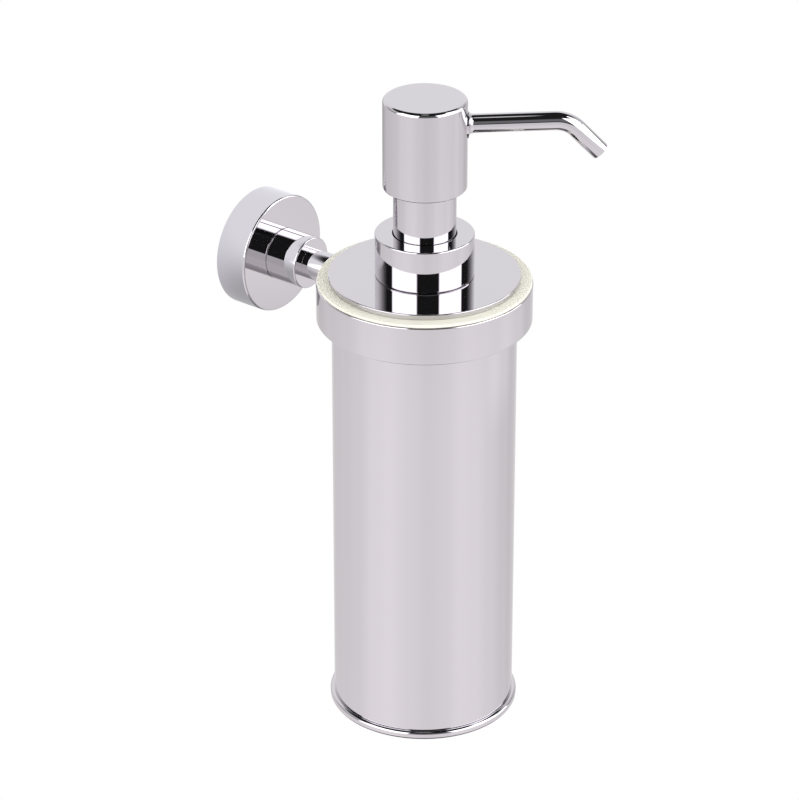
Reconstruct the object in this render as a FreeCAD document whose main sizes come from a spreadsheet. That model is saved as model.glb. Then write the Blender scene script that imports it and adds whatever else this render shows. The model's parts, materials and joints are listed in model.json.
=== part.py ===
import FreeCAD, Part
import math
import os
import re

import Sketcher
from FreeCAD import Placement, Rotation, Vector

# Wall mounted soap dispenser: a chrome cylinder with a press pump, hung in a
# ring on a short arm. Millimetres. The origin is the centre of the wall
# bracket's rear face, +Z is up, and the object stands out along -Y.

os.makedirs("parts", exist_ok=True)
doc = FreeCAD.newDocument("wall_soap_dispenser")

# ---------------------------------------------------------------- sizes
# One row for each size: name, value, meaning.
SIZES = [
    # clearances
    ("fixed_gap", 0.05, "between pieces that are pressed or screwed together"),
    ("running_gap", 0.08, "radial, between the pump's sliding pieces"),
    ("loose_gap", 0.3, "radial, between pieces that only pass each other"),
    ("seat_gap", 0.05, "between flat faces that rest on each other"),
    # wall bracket and its cover
    ("neck_length", 13.3, "thin part of the arm, from the stub to the ring"),
    ("flange_radius", 21.5, "round cover on the wall"),
    ("flange_depth", 12.7, "cover's depth from the wall"),
    ("flange_wall", 1.4, "cover's wall"),
    ("flange_face", 1.6, "cover's front face"),
    ("flange_edge", 0.7, "rounding of the cover's front edge"),
    ("arm_screw_room", 0.5, "between the arm screw's head and the bracket"),
    ("slot_rim", 1.2, "bracket's rim outside the recess"),
    ("slot_radius", 2.25, "half of a screw slot's width"),
    ("slot_travel", 2.5, "how far a wall screw can shift in its slot"),
    ("slot_recess_radius", 4.6, "recess for the wall screw's head"),
    ("slot_recess_depth", 4.5, "depth of that recess"),
    ("grub_radius", 2.0, "set screw that locks the cover on the bracket"),
    ("grub_height", 5.0, "set screw's distance from the wall"),
    ("grub_bite", 1.4, "how deep the set screw enters the bracket's rim"),
    ("grub_hex", 1.1, "set screw's hexagon socket, centre to corner"),
    # arm
    ("stub_radius", 9.45, "thick part of the arm"),
    ("stub_length", 13.2, "thick part of the arm"),
    ("stub_edge", 0.4, "chamfer of the thick part's end"),
    ("neck_radius", 5.5, "thin part of the arm"),
    ("spigot_radius", 3.2, "threaded end of the thin part, inside the stub"),
    ("spigot_length", 5.0, "threaded end of the thin part"),
    ("arm_screw_radius", 2.5, "screw that holds the arm on the cover"),
    ("stub_web", 1.8, "stub's web between the screw and the spigot"),
    ("arm_screw_head_radius", 4.5, "its head"),
    ("arm_screw_head_height", 2.6, "its head"),
    ("arm_screw_hex", 2.3, "its hexagon socket, centre to corner"),
    # ring and its plastic bushing
    ("liner_wall", 2.8, "wall of the bushing's sleeve"),
    ("band_wall", 1.9, "ring's wall"),
    ("band_height", 14.0, "ring's height"),
    ("band_edge", 0.5, "rounding of the ring's edges"),
    ("liner_rim", 0.4, "ring's edge outside the bushing's flange"),
    ("liner_flange", 1.0, "thickness of the bushing's flange"),
    ("liner_rise", 2.0, "the sleeve is this much shorter than the ring"),
    # container
    ("arm_drop", 1.1, "arm's axis below the ring's middle"),
    ("plate_overhang", 1.1, "lid plate over the tube"),
    ("plate_thickness", 2.0, "lid plate"),
    ("plate_edge", 0.4, "rounding of the lid plate's rim"),
    ("lid_spigot_depth", 6.0, "lid's ring inside the tube"),
    ("lid_spigot_wall", 1.5, "lid's ring inside the tube"),
    ("tube_radius", 32.5, "container's tube, outside"),
    ("tube_wall", 1.2, "container's tube"),
    ("tube_length", 164.9, "container's tube"),
    ("base_overhang", 1.5, "lip of the base outside the tube"),
    ("base_lip", 3.0, "height of the base's lip"),
    ("base_edge", 0.9, "rounding of the base's lip"),
    ("base_floor", 2.4, "thickness of the base's floor"),
    ("base_spigot_height", 6.0, "base's ring inside the tube"),
    ("base_spigot_wall", 1.5, "base's ring inside the tube"),
    # threaded neck in the lid
    ("skirt_play", 0.55, "between the skirt and the cup"),
    ("neck_bush_wall", 1.5, "neck's wall"),
    ("neck_bush_top", 11.0, "neck's height above the lid"),
    ("neck_bush_shoulder", 3.1, "width of the flange under the lid"),
    ("neck_bush_flange", 1.4, "flange under the lid"),
    # collar that screws on the neck
    ("insert_wall", 1.4, "wall of the threaded insert"),
    ("clamp_gap", 0.25, "between the insert's lip and the pump's flange"),
    ("collar_wall", 1.2, "collar's side wall"),
    ("collar_top", 1.3, "collar's top wall"),
    ("collar_edge", 0.5, "rounding of the collar's top edge"),
    ("collar_foot_edge", 0.6, "rounding of the collar's lower edge"),
    ("insert_lip", 0.7, "inner lip of the threaded insert"),
    ("insert_foot", 0.6, "insert stops this far above the lid"),
    ("grip_rib_width", 1.0, "grooves that key the insert in the collar"),
    ("grip_rib_depth", 0.5, "grooves that key the insert in the collar"),
    # pump
    ("stroke", 14.0, "press stroke"),
    ("gasket", 0.9, "sealing ring on the neck"),
    ("pump_flange", 1.2, "pump's flange on the sealing ring"),
    ("cup_wall", 1.1, "cup that the skirt sinks into"),
    ("cup_floor", 1.2, "cup's floor"),
    ("skirt_room", 0.45, "between the pressed skirt and the guide"),
    ("spring_room", 1.65, "between the spring and the bore"),
    ("cylinder_wall", 1.2, "pump cylinder"),
    ("spring_rest", 12.7, "fully pressed spring"),
    ("shelf", 2.0, "thickness of the cylinder's bottom"),
    ("inlet_radius", 2.0, "inlet hole, the ball's seat"),
    ("socket_length", 10.0, "socket for the dip tube"),
    ("socket_wall", 1.2, "socket for the dip tube"),
    ("dip_radius", 3.0, "dip tube, outside"),
    ("dip_wall", 1.0, "dip tube"),
    ("dip_clearance", 4.0, "dip tube's end above the container's floor"),
    ("inlet_ball_radius", 2.5, "inlet ball"),
    ("ball_lift", 1.3, "lift of the inlet ball"),
    ("ball_play", 0.6, "between the inlet ball and its cage"),
    ("cage_wall", 0.7, "cage"),
    ("ball_headroom", 0.45, "between the lifted inlet ball and its cage"),
    ("cage_hole", 1.5, "hole in the cage's top"),
    ("cage_window", 1.6, "width of the cage's windows"),
    ("guide_shoulder", 2.5, "guide's flange outside the bore"),
    ("guide_flange", 1.5, "its thickness"),
    ("guide_hub_wall", 2.4, "hub round the stem"),
    ("guide_hub_height", 6.5, "hub above the guide's flange"),
    ("guide_plug", 4.0, "guide's plug in the cylinder"),
    ("stem_wall", 1.4, "stem's wall at the chamber"),
    ("stem_bore", 1.8, "stem's passage, the outlet ball's seat"),
    ("stem_bite", 4.0, "stem's length inside the core"),
    ("outlet_play", 0.4, "between the outlet ball and its chamber"),
    ("valve_depth", 5.0, "depth of that chamber"),
    ("outlet_ball_radius", 2.2, "outlet ball"),
    ("piston_height", 8.0, "piston"),
    ("seal_height", 2.4, "piston's sealing ring"),
    ("seal_groove", 1.3, "depth of the groove for the sealing ring"),
    ("spring_play", 0.45, "between the cage and the spring"),
    ("wire_radius", 0.45, "spring's wire"),
    ("spring_turns", 7.5, "spring"),
    # head and spout
    ("head_overhang", 3.65, "head outside the skirt"),
    ("head_height", 32.7, "head"),
    ("skirt_reserve", 3.3, "skirt that still shows when pressed"),
    ("head_wall", 1.3, "head's side wall"),
    ("head_cap", 1.8, "head's top wall"),
    ("head_edge", 1.5, "rounding of the head's top edge"),
    ("head_low_edge", 0.5, "rounding of the head's lower edge"),
    ("skirt_radius", 10.95, "skirt"),
    ("skirt_wall", 1.0, "skirt"),
    ("skirt_engagement", 2.5, "skirt inside the collar at rest"),
    ("skirt_flange", 1.4, "skirt's flange inside the head"),
    ("core_post_wall", 2.2, "core's post round the stem"),
    ("post_room", 0.95, "between the pressed post and the guide's hub"),
    ("spout_drop", 9.8, "spout's axis below the head's top"),
    ("spout_radius", 3.3, "spout, outside"),
    ("spout_wall", 0.9, "spout"),
    ("spout_root", 5.0, "spout's start, from the head's axis"),
    ("spout_straight", 44.5, "start of the bend, from the head's axis"),
    ("spout_bend_radius", 10.5, "bend, at the centre line"),
    ("spout_bend_angle", 46.5, "bend, degrees"),
    ("spout_end", 11.9, "straight part after the bend"),
    ("spout_turn", 43.0, "spout's direction at rest, from straight out"),
    ("ferrule", 1.8, "concave root where the spout meets the head"),
    ("ferrule_land", 0.2, "thickness of the root's thin end"),
    ("hose_wall", 0.6, "plastic hose inside the spout"),
    ("hose_setback", 1.5, "hose's end behind the spout's mouth"),
]

# Sizes that follow others, so that what fits together stays together.
# One row for each: name, formula, meaning.
FITTED = [
    ("bracket_thickness",
     "flange_depth - flange_face - arm_screw_head_height - arm_screw_room",
     "bracket disc under the cover"),
    ("slot_spacing",
     "2 * (flange_radius - flange_wall - fixed_gap - slot_recess_radius - slot_travel "
     "/ 2 - slot_rim)",
     "between the two screw slots"),
    ("arm_screw_length",
     "stub_length - spigot_length - 2 * loose_gap + flange_face - stub_web",
     "shank of the arm's screw"),
    ("band_radius",
     "tube_radius + 2 * loose_gap + liner_wall + band_wall",
     "outside of the ring"),
    ("wall_reach",
     "flange_depth + stub_length + neck_length + band_radius",
     "wall to the container's axis"),
    ("liner_radius", "band_radius - liner_rim", "bushing's flange"),
    ("liner_depth", "band_height - liner_rise", "bushing's sleeve below the flange"),
    ("plate_rise",
     "plate_thickness + liner_flange + 2 * seat_gap + band_height / 2 + arm_drop",
     "top of the lid plate above the arm's axis"),
    ("plate_radius", "tube_radius + plate_overhang", "lid plate"),
    ("base_radius", "tube_radius + base_overhang", "lip of the base"),
    ("neck_bush_radius",
     "skirt_radius + skirt_play + cup_wall + loose_gap + neck_bush_wall",
     "outside of the threaded neck"),
    ("neck_bush_flange_radius", "neck_bush_radius + neck_bush_shoulder", "flange under the lid"),
    ("collar_radius",
     "neck_bush_radius + loose_gap + insert_wall + fixed_gap + collar_wall",
     "collar, outside"),
    ("collar_height",
     "neck_bush_top + gasket + pump_flange + clamp_gap + insert_lip + collar_top + 3 * "
     "fixed_gap",
     "collar"),
    ("head_rise", "stroke + skirt_reserve", "skirt that shows between collar and head"),
    ("cup_depth",
     "stroke + skirt_engagement - collar_height + guide_flange + fixed_gap + "
     "skirt_room",
     "cup's floor below the lid plate's top"),
    ("cage_radius", "inlet_ball_radius + ball_play + cage_wall", "cage over the inlet ball"),
    ("cage_height",
     "sqrt(inlet_ball_radius ^ 2 - inlet_radius ^ 2) + inlet_ball_radius + fixed_gap + "
     "ball_lift + ball_headroom + cage_wall",
     "cage"),
    ("spring_radius", "cage_radius + spring_play + wire_radius", "spring, to the wire's centre"),
    ("bore_radius", "spring_radius + wire_radius + spring_room", "pump cylinder's bore"),
    ("guide_flange_radius", "bore_radius + guide_shoulder", "guide on the cup's floor"),
    ("valve_bore", "outlet_ball_radius + outlet_play", "outlet ball's chamber in the stem"),
    ("stem_radius", "valve_bore + stem_wall", "hollow stem, outside"),
    ("guide_hub_radius", "stem_radius + guide_hub_wall", "hub round the stem"),
    ("core_post_radius", "stem_radius + core_post_wall", "core's post round the stem"),
    ("core_post_drop",
     "collar_height + head_rise - stroke + cup_depth - fixed_gap - guide_flange - "
     "guide_hub_height - post_room",
     "post below the head"),
    ("stem_top",
     "collar_height + head_rise - core_post_drop + stem_bite",
     "stem's upper end above the lid"),
    ("chamber_length",
     "guide_plug + loose_gap + piston_height + stroke + spring_rest",
     "bore, from the cup's floor to its shelf"),
    ("head_radius", "skirt_radius + head_overhang", "head"),
]

sheet = doc.addObject("Spreadsheet::Sheet", "Dims")
ROWS = [(alias, str(number), meaning) for alias, number, meaning in SIZES]
ROWS += [(alias, "=" + formula, meaning) for alias, formula, meaning in FITTED]
for row, (alias, content, meaning) in enumerate(ROWS, start=1):
    sheet.set(f"A{row}", meaning)
    sheet.setAlias(f"B{row}", alias)
for row, (alias, content, meaning) in enumerate(ROWS, start=1):
    sheet.set(f"B{row}", content)
doc.recompute()
ALIASES = {alias for alias, content, meaning in ROWS}


def bound(text):
    """Turn an expression of size names into one that reads the sheet."""
    def prefix(found):
        word = found.group(0)
        return "Dims." + word if word in ALIASES else word
    return re.sub(r"[a-z_]+", prefix, text)


def size(alias):
    """The number in the sheet, for the few places that pick edges."""
    return float(sheet.get(alias))


# Derived places, as expressions. On the container's axis, heights are counted
# from the lid plate's top face. On the arm's axis they are counted from the wall.
PLATE_LOW = "(0 - plate_thickness)"
LINER_TOP = f"({PLATE_LOW} - seat_gap)"
LINER_LOW = f"({LINER_TOP} - liner_flange)"
BAND_TOP = f"({LINER_LOW} - seat_gap)"
BAND_LOW = f"({BAND_TOP} - band_height)"
TUBE_TOP = f"({PLATE_LOW} - fixed_gap)"
TUBE_LOW = f"({TUBE_TOP} - tube_length)"
LIP_TOP = f"({TUBE_LOW} - fixed_gap)"
BASE_LOW = f"({LIP_TOP} - base_lip)"
FLOOR_TOP = f"({BASE_LOW} + base_floor)"
GASKET_LOW = "(neck_bush_top + fixed_gap)"
PUMP_FLANGE_LOW = f"({GASKET_LOW} + gasket + fixed_gap)"
PUMP_FLANGE_TOP = f"({PUMP_FLANGE_LOW} + pump_flange)"
CUP_FLOOR_TOP = "(0 - cup_depth)"
CUP_FLOOR_LOW = f"({CUP_FLOOR_TOP} - cup_floor)"
SHELF_TOP = f"({CUP_FLOOR_TOP} - chamber_length)"
SHELF_LOW = f"({SHELF_TOP} - shelf)"
SOCKET_LOW = f"({SHELF_LOW} - socket_length)"
GUIDE_PLUG_LOW = f"({CUP_FLOOR_TOP} - guide_plug)"
PISTON_TOP = f"({GUIDE_PLUG_LOW} - loose_gap)"
PISTON_LOW = f"({PISTON_TOP} - piston_height)"
HEAD_LOW = "(collar_height + head_rise)"
HEAD_TOP = f"({HEAD_LOW} + head_height)"
CORE_LOW = f"({HEAD_LOW} - core_post_drop)"
CORE_STEP = f"({HEAD_LOW} + skirt_flange + fixed_gap)"
CORE_TOP = f"({HEAD_TOP} - head_cap - fixed_gap)"
SPOUT_Z = f"({HEAD_TOP} - spout_drop)"
CUP_INNER = "(neck_bush_radius - neck_bush_wall - loose_gap - cup_wall)"
CUP_OUTER = "(neck_bush_radius - neck_bush_wall - loose_gap)"
INSERT_OUTER = "(collar_radius - collar_wall - fixed_gap)"
INSERT_INNER = "(neck_bush_radius + loose_gap)"
SKIRT_HOLE = "(skirt_radius + loose_gap)"
TUBE_INNER = "(tube_radius - tube_wall)"
BAND_INNER = "(band_radius - band_wall)"
BRACKET_RADIUS = "(flange_radius - flange_wall - fixed_gap)"
STUB_END = "(flange_depth + stub_length)"

NODES = []


# ---------------------------------------------------------------- helpers
def new_body(label, where):
    """A body in its place: on the container's axis or on the arm's axis."""
    body = doc.addObject("PartDesign::Body", label)
    body.Label = label
    if where == "arm":
        body.Placement = Placement(Vector(0, 0, 0), Rotation(Vector(1, 0, 0), 90))
    else:
        stand_on_axis(body)
    if where == "spout":
        body.setExpression("Placement.Rotation.Angle", bound("spout_turn - 90"))
    NODES.append(body)
    return body


def stand_on_axis(thing, height="plate_rise"):
    """Bind an object's place to the container's axis."""
    thing.setExpression("Placement.Base.y", bound("0 - wall_reach"))
    thing.setExpression("Placement.Base.z", bound(height))


def origin_plane(body, role):
    return [part for part in body.Origin.OriginFeatures if part.Role == role][0]


def new_sketch(body, name, role, offset=None, lift=None):
    sketch = body.newObject("Sketcher::SketchObject", f"{body.Label}_{name}")
    sketch.AttachmentSupport = [(origin_plane(body, role), "")]
    sketch.MapMode = "FlatFace"
    if offset:
        sketch.setExpression("AttachmentOffset.Base.z", bound(offset))
    if lift:
        sketch.setExpression("AttachmentOffset.Base.y", bound(lift))
    return sketch


def pin_point(sketch, geo, end, across, along):
    """Bind one point of a sketch to two expressions."""
    now = sketch.getPoint(geo, end)
    for kind, axis, text, value in (("DistanceX", -2, across, now.x),
                                    ("DistanceY", -1, along, now.y)):
        if text == "0":
            sketch.addConstraint(Sketcher.Constraint("PointOnObject", geo, end, axis))
            continue
        index = sketch.addConstraint(Sketcher.Constraint(kind, -1, 1, geo, end, value))
        sketch.setExpression(f"Constraints[{index}]", bound(text))


def bound_line(sketch, start, end, start_texts, end_texts):
    """A line whose two ends are bound to expressions."""
    index = sketch.addGeometry(Part.LineSegment(Vector(*start, 0), Vector(*end, 0)), False)
    pin_point(sketch, index, 1, *start_texts)
    pin_point(sketch, index, 2, *end_texts)


def bound_arc(sketch, arc, start_join, end_join, centre_across):
    """Tie an arc's ends to the ends of bound lines, and bind its centre."""
    sketch.addConstraint(Sketcher.Constraint("Coincident", arc, 1, *start_join))
    sketch.addConstraint(Sketcher.Constraint("Coincident", arc, 2, *end_join))
    now = sketch.getPoint(arc, 3).x
    centre = Sketcher.Constraint("DistanceX", -1, 1, arc, 3, now)
    index = sketch.addConstraint(centre)
    sketch.setExpression(f"Constraints[{index}]", bound(centre_across))


def outline(sketch, points):
    """A closed outline of straight lines through bound points."""
    count = len(points)
    start = []
    for index in range(count):
        angle = 2 * math.pi * index / count
        start.append(Vector(50 + 10 * math.cos(angle), 10 * math.sin(angle), 0))
    for index in range(count):
        line = Part.LineSegment(start[index], start[(index + 1) % count])
        sketch.addGeometry(line, False)
    for index in range(count):
        join = Sketcher.Constraint("Coincident", index, 2, (index + 1) % count, 1)
        sketch.addConstraint(join)
    for index, (across, along) in enumerate(points):
        pin_point(sketch, index, 1, across, along)


def circles(sketch, rings):
    """Circles given as (across, along, radius) expressions."""
    for index, (across, along, radius) in enumerate(rings):
        sketch.addGeometry(Part.Circle(Vector(5, 5, 0), Vector(0, 0, 1), 2), False)
        pin_point(sketch, index, 3, across, along)
        place = sketch.addConstraint(Sketcher.Constraint("Radius", index, 2.0))
        sketch.setExpression(f"Constraints[{place}]", bound(radius))


def turned(label, where, points):
    """A piece turned round its axis from an outline of (radius, height)."""
    body = new_body(label, where)
    sketch = new_sketch(body, "outline", "XZ_Plane")
    outline(sketch, points)
    turn = body.newObject("PartDesign::Revolution", f"{label}_turned")
    turn.Profile = sketch
    turn.ReferenceAxis = (sketch, ["V_Axis"])
    turn.Angle = 360
    doc.recompute()
    return body


def pocket(body, name, sketch, depth=None, forward=False, both=False):
    """Cut a sketch out of a body and make sure that it took material."""
    doc.recompute()
    before = body.Shape.Volume
    cut = body.newObject("PartDesign::Pocket", f"{body.Label}_{name}")
    cut.Profile = sketch
    cut.Reversed = forward
    if depth:
        cut.setExpression("Length", bound(depth))
    else:
        cut.Type = "ThroughAll"
    cut.Midplane = both
    doc.recompute()
    if not body.Shape.Volume < before - 1e-3:
        raise RuntimeError(f"{cut.Name} cuts nothing")
    return cut


def edge_names(feature, radius, height):
    """Circular edges of a turned feature, by radius and height on its axis."""
    names = []
    for index, edge in enumerate(feature.Shape.Edges, start=1):
        curve = edge.Curve
        if not isinstance(curve, Part.Circle):
            continue
        if abs(curve.Radius - radius) < 1e-3 and abs(curve.Center.z - height) < 1e-3:
            names.append(f"Edge{index}")
    if not names:
        raise RuntimeError(f"no edge on {feature.Name} at {radius}, {height}")
    return names


def soften(body, kind, alias, rings):
    """Fillet or chamfer circular edges with one named size."""
    base = body.Tip
    names = []
    for radius, height in rings:
        names += edge_names(base, radius, height)
    feature = body.newObject(f"PartDesign::{kind}", f"{body.Label}_{alias}")
    feature.Base = (base, names)
    feature.setExpression("Radius" if kind == "Fillet" else "Size", bound(alias))
    doc.recompute()
    return feature


def primitive(kind, name, **bindings):
    """A Part primitive whose properties are bound to the sheet."""
    thing = doc.addObject(f"Part::{kind}", name)
    for prop, text in bindings.items():
        thing.setExpression(prop.replace("__", "."), bound(text))
    return thing


def boolean(kind, name, base, tool):
    thing = doc.addObject(f"Part::{kind}", name)
    thing.Base = base
    thing.Tool = tool
    return thing


def point_along(thing, axis_x, axis_y, angle):
    thing.Placement = Placement(Vector(0, 0, 0), Rotation(Vector(axis_x, axis_y, 0), angle))


# ---------------------------------------------------------------- wall side
def screw_slot(body, name, radius):
    """An outline of one screw slot, to the right of the bracket's centre."""
    sketch = new_sketch(body, name, "XY_Plane")
    far = size("slot_spacing") / 2 + size("slot_travel") / 2
    near = size("slot_spacing") / 2 - size("slot_travel") / 2
    wide = size(radius)
    far_text = "slot_spacing / 2 + slot_travel / 2"
    near_text = "slot_spacing / 2 - slot_travel / 2"
    normal = Vector(0, 0, 1)
    right = Part.Circle(Vector(far, 0, 0), normal, wide)
    left = Part.Circle(Vector(near, 0, 0), normal, wide)
    bound_line(sketch, (far, wide), (near, wide), (far_text, radius), (near_text, radius))
    bound_line(sketch, (near, -wide), (far, -wide),
               (near_text, f"0 - {radius}"), (far_text, f"0 - {radius}"))
    sketch.addGeometry(Part.ArcOfCircle(right, -math.pi / 2, math.pi / 2), False)
    sketch.addGeometry(Part.ArcOfCircle(left, math.pi / 2, 3 * math.pi / 2), False)
    bound_arc(sketch, 2, (1, 2), (0, 1), far_text)
    bound_arc(sketch, 3, (0, 2), (1, 1), near_text)
    return sketch


def wall_bracket():
    body = new_body("wall_bracket", "arm")
    disc = new_sketch(body, "disc", "XY_Plane")
    circles(disc, [("0", "0", BRACKET_RADIUS)])
    pad = body.newObject("PartDesign::Pad", "wall_bracket_pad")
    pad.Profile = disc
    pad.setExpression("Length", bound("bracket_thickness"))
    doc.recompute()
    cuts = [pocket(body, "slot", screw_slot(body, "slot_outline", "slot_radius"), forward=True)]
    recess = screw_slot(body, "recess_outline", "slot_recess_radius")
    recess.setExpression("AttachmentOffset.Base.z", bound("bracket_thickness"))
    cuts.append(pocket(body, "recess", recess, depth="slot_recess_depth"))
    for number, cut in enumerate(cuts, start=1):
        mirror = body.newObject("PartDesign::Mirrored", f"wall_bracket_mirror_{number}")
        mirror.Originals = [cut]
        mirror.MirrorPlane = (origin_plane(body, "YZ_Plane"), [""])
        body.Tip = mirror
        doc.recompute()
    dimple = new_sketch(body, "dimple", "XZ_Plane", offset=f"{BRACKET_RADIUS} - grub_bite")
    circles(dimple, [("0", "grub_height", "grub_radius + fixed_gap")])
    pocket(body, "dimple_cut", dimple, depth="2 * grub_bite", forward=True)


def wall_flange():
    inner = "(flange_radius - flange_wall)"
    face = "(flange_depth - flange_face)"
    hole = "(arm_screw_radius + fixed_gap)"
    body = turned("wall_flange", "arm", [
        (inner, "0"), ("flange_radius", "0"), ("flange_radius", "flange_depth"),
        (hole, "flange_depth"), (hole, face), (inner, face)])
    soften(body, "Fillet", "flange_edge", [(size("flange_radius"), size("flange_depth"))])
    thread = new_sketch(body, "grub_hole", "XZ_Plane")
    circles(thread, [("0", "grub_height", "grub_radius + fixed_gap")])
    pocket(body, "grub_cut", thread, forward=True)


def flange_grub_screw():
    """Hexagon socket set screw, pointing up from the cover's underside."""
    tip = f"({BRACKET_RADIUS} - grub_bite + fixed_gap)"
    low = "(flange_radius - flange_edge)"
    barrel = primitive("Cylinder", "grub_barrel", Radius="grub_radius",
                       Height=f"{low} - {tip}", Placement__Base__z=f"0 - {low}",
                       Placement__Base__y="0 - grub_height")
    socket = primitive("Prism", "grub_socket", Circumradius="grub_hex",
                       Height=f"({low} - {tip}) / 2", Placement__Base__z=f"0 - {low}",
                       Placement__Base__y="0 - grub_height")
    screw = boolean("Cut", "flange_grub_screw", barrel, socket)
    screw.Label = "flange_grub_screw"
    NODES.append(screw)


def arm_screw():
    """Socket head screw, from inside the cover into the arm's thick part."""
    seat = "(flange_depth - flange_face)"
    head_back = f"({seat} - arm_screw_head_height)"
    shank = primitive("Cylinder", "arm_screw_shank", Radius="arm_screw_radius",
                      Height="arm_screw_length", Placement__Base__y=f"0 - {seat}")
    head = primitive("Cylinder", "arm_screw_head", Radius="arm_screw_head_radius",
                     Height="arm_screw_head_height", Placement__Base__y=f"0 - {head_back}")
    socket = primitive("Prism", "arm_screw_socket", Circumradius="arm_screw_hex",
                       Height="arm_screw_head_height / 2",
                       Placement__Base__y=f"0 - {head_back}")
    for piece in (shank, head, socket):
        point_along(piece, 1, 0, 90)
    blank = boolean("Fuse", "arm_screw_blank", shank, head)
    screw = boolean("Cut", "arm_screw", blank, socket)
    screw.Label = "arm_screw"
    NODES.append(screw)


def arm_stub():
    screw_hole = "(arm_screw_radius + fixed_gap)"
    screw_end = "(flange_depth - flange_face + arm_screw_length + loose_gap)"
    spigot_hole = "(spigot_radius + fixed_gap)"
    spigot_end = f"({STUB_END} - spigot_length - loose_gap)"
    body = turned("arm_stub", "arm", [
        (screw_hole, "flange_depth"), ("stub_radius", "flange_depth"),
        ("stub_radius", STUB_END), (spigot_hole, STUB_END), (spigot_hole, spigot_end),
        ("0", spigot_end), ("0", screw_end), (screw_hole, screw_end)])
    soften(body, "Chamfer", "stub_edge",
           [(size("stub_radius"), size("flange_depth") + size("stub_length"))])


def arm_neck():
    """Thin part of the arm; its far end is cut to the ring's round side."""
    far = "(wall_reach - band_radius + band_wall)"
    body = turned("arm_neck", "arm", [
        ("0", f"{STUB_END} - spigot_length"), ("spigot_radius", f"{STUB_END} - spigot_length"),
        ("spigot_radius", STUB_END), ("neck_radius", STUB_END), ("neck_radius", far), ("0", far)])
    saddle = new_sketch(body, "saddle", "XZ_Plane")
    circles(saddle, [("0", "wall_reach", "band_radius")])
    pocket(body, "saddle_cut", saddle, depth="4 * neck_radius", both=True)


def ring_holder():
    body = turned("ring_holder", "axis", [
        (BAND_INNER, BAND_LOW), ("band_radius", BAND_LOW),
        ("band_radius", BAND_TOP), (BAND_INNER, BAND_TOP)])
    top = -size("plate_thickness") - size("liner_flange") - 2 * size("seat_gap")
    low = top - size("band_height")
    soften(body, "Fillet", "band_edge", [(size("band_radius"), top), (size("band_radius"), low)])


# ---------------------------------------------------------------- container
def ring_liner():
    """Plastic bushing: rests in the ring and carries the lid plate."""
    inner = "(tube_radius + loose_gap)"
    sleeve = f"({BAND_INNER} - loose_gap)"
    low = f"({LINER_LOW} - liner_depth)"
    turned("ring_liner", "axis", [
        (inner, low), (sleeve, low), (sleeve, LINER_LOW), ("liner_radius", LINER_LOW),
        ("liner_radius", LINER_TOP), (inner, LINER_TOP)])


def container_tube():
    turned("container_tube", "axis", [
        (TUBE_INNER, TUBE_LOW), ("tube_radius", TUBE_LOW),
        ("tube_radius", TUBE_TOP), (TUBE_INNER, TUBE_TOP)])


def container_base():
    spigot = f"({TUBE_INNER} - fixed_gap)"
    spigot_inner = f"({spigot} - base_spigot_wall)"
    spigot_top = f"({LIP_TOP} + base_spigot_height)"
    body = turned("container_base", "axis", [
        ("0", BASE_LOW), ("base_radius", BASE_LOW), ("base_radius", LIP_TOP), (spigot, LIP_TOP),
        (spigot, spigot_top), (spigot_inner, spigot_top), (spigot_inner, FLOOR_TOP),
        ("0", FLOOR_TOP)])
    lip_top = -size("plate_thickness") - size("tube_length") - 2 * size("fixed_gap")
    radius = size("base_radius")
    soften(body, "Fillet", "base_edge", [(radius, lip_top), (radius, lip_top - size("base_lip"))])


def top_plate():
    spigot = f"({TUBE_INNER} - fixed_gap)"
    spigot_inner = f"({spigot} - lid_spigot_wall)"
    spigot_low = f"({PLATE_LOW} - lid_spigot_depth)"
    hole = "(neck_bush_radius + fixed_gap)"
    body = turned("top_plate", "axis", [
        (hole, "0"), ("plate_radius", "0"), ("plate_radius", PLATE_LOW), (spigot, PLATE_LOW),
        (spigot, spigot_low), (spigot_inner, spigot_low), (spigot_inner, PLATE_LOW),
        (hole, PLATE_LOW)])
    soften(body, "Fillet", "plate_edge", [(size("plate_radius"), 0.0)])


def neck_bush():
    """Threaded neck, pushed up through the lid; the thread is left plain."""
    inner = "(neck_bush_radius - neck_bush_wall)"
    flange_top = f"({PLATE_LOW} - fixed_gap)"
    flange_low = f"({flange_top} - neck_bush_flange)"
    turned("neck_bush", "axis", [
        (inner, flange_low), ("neck_bush_flange_radius", flange_low),
        ("neck_bush_flange_radius", flange_top), ("neck_bush_radius", flange_top),
        ("neck_bush_radius", "neck_bush_top"), (inner, "neck_bush_top")])


# ---------------------------------------------------------------- collar
def collar_shell():
    inner = "(collar_radius - collar_wall)"
    under = "(collar_height - collar_top)"
    body = turned("collar_shell", "axis", [
        (inner, "seat_gap"), ("collar_radius", "seat_gap"), ("collar_radius", "collar_height"),
        (SKIRT_HOLE, "collar_height"), (SKIRT_HOLE, under), (inner, under)])
    radius = size("collar_radius")
    soften(body, "Fillet", "collar_edge", [(radius, size("collar_height"))])
    soften(body, "Fillet", "collar_foot_edge", [(radius, size("seat_gap"))])


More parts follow.
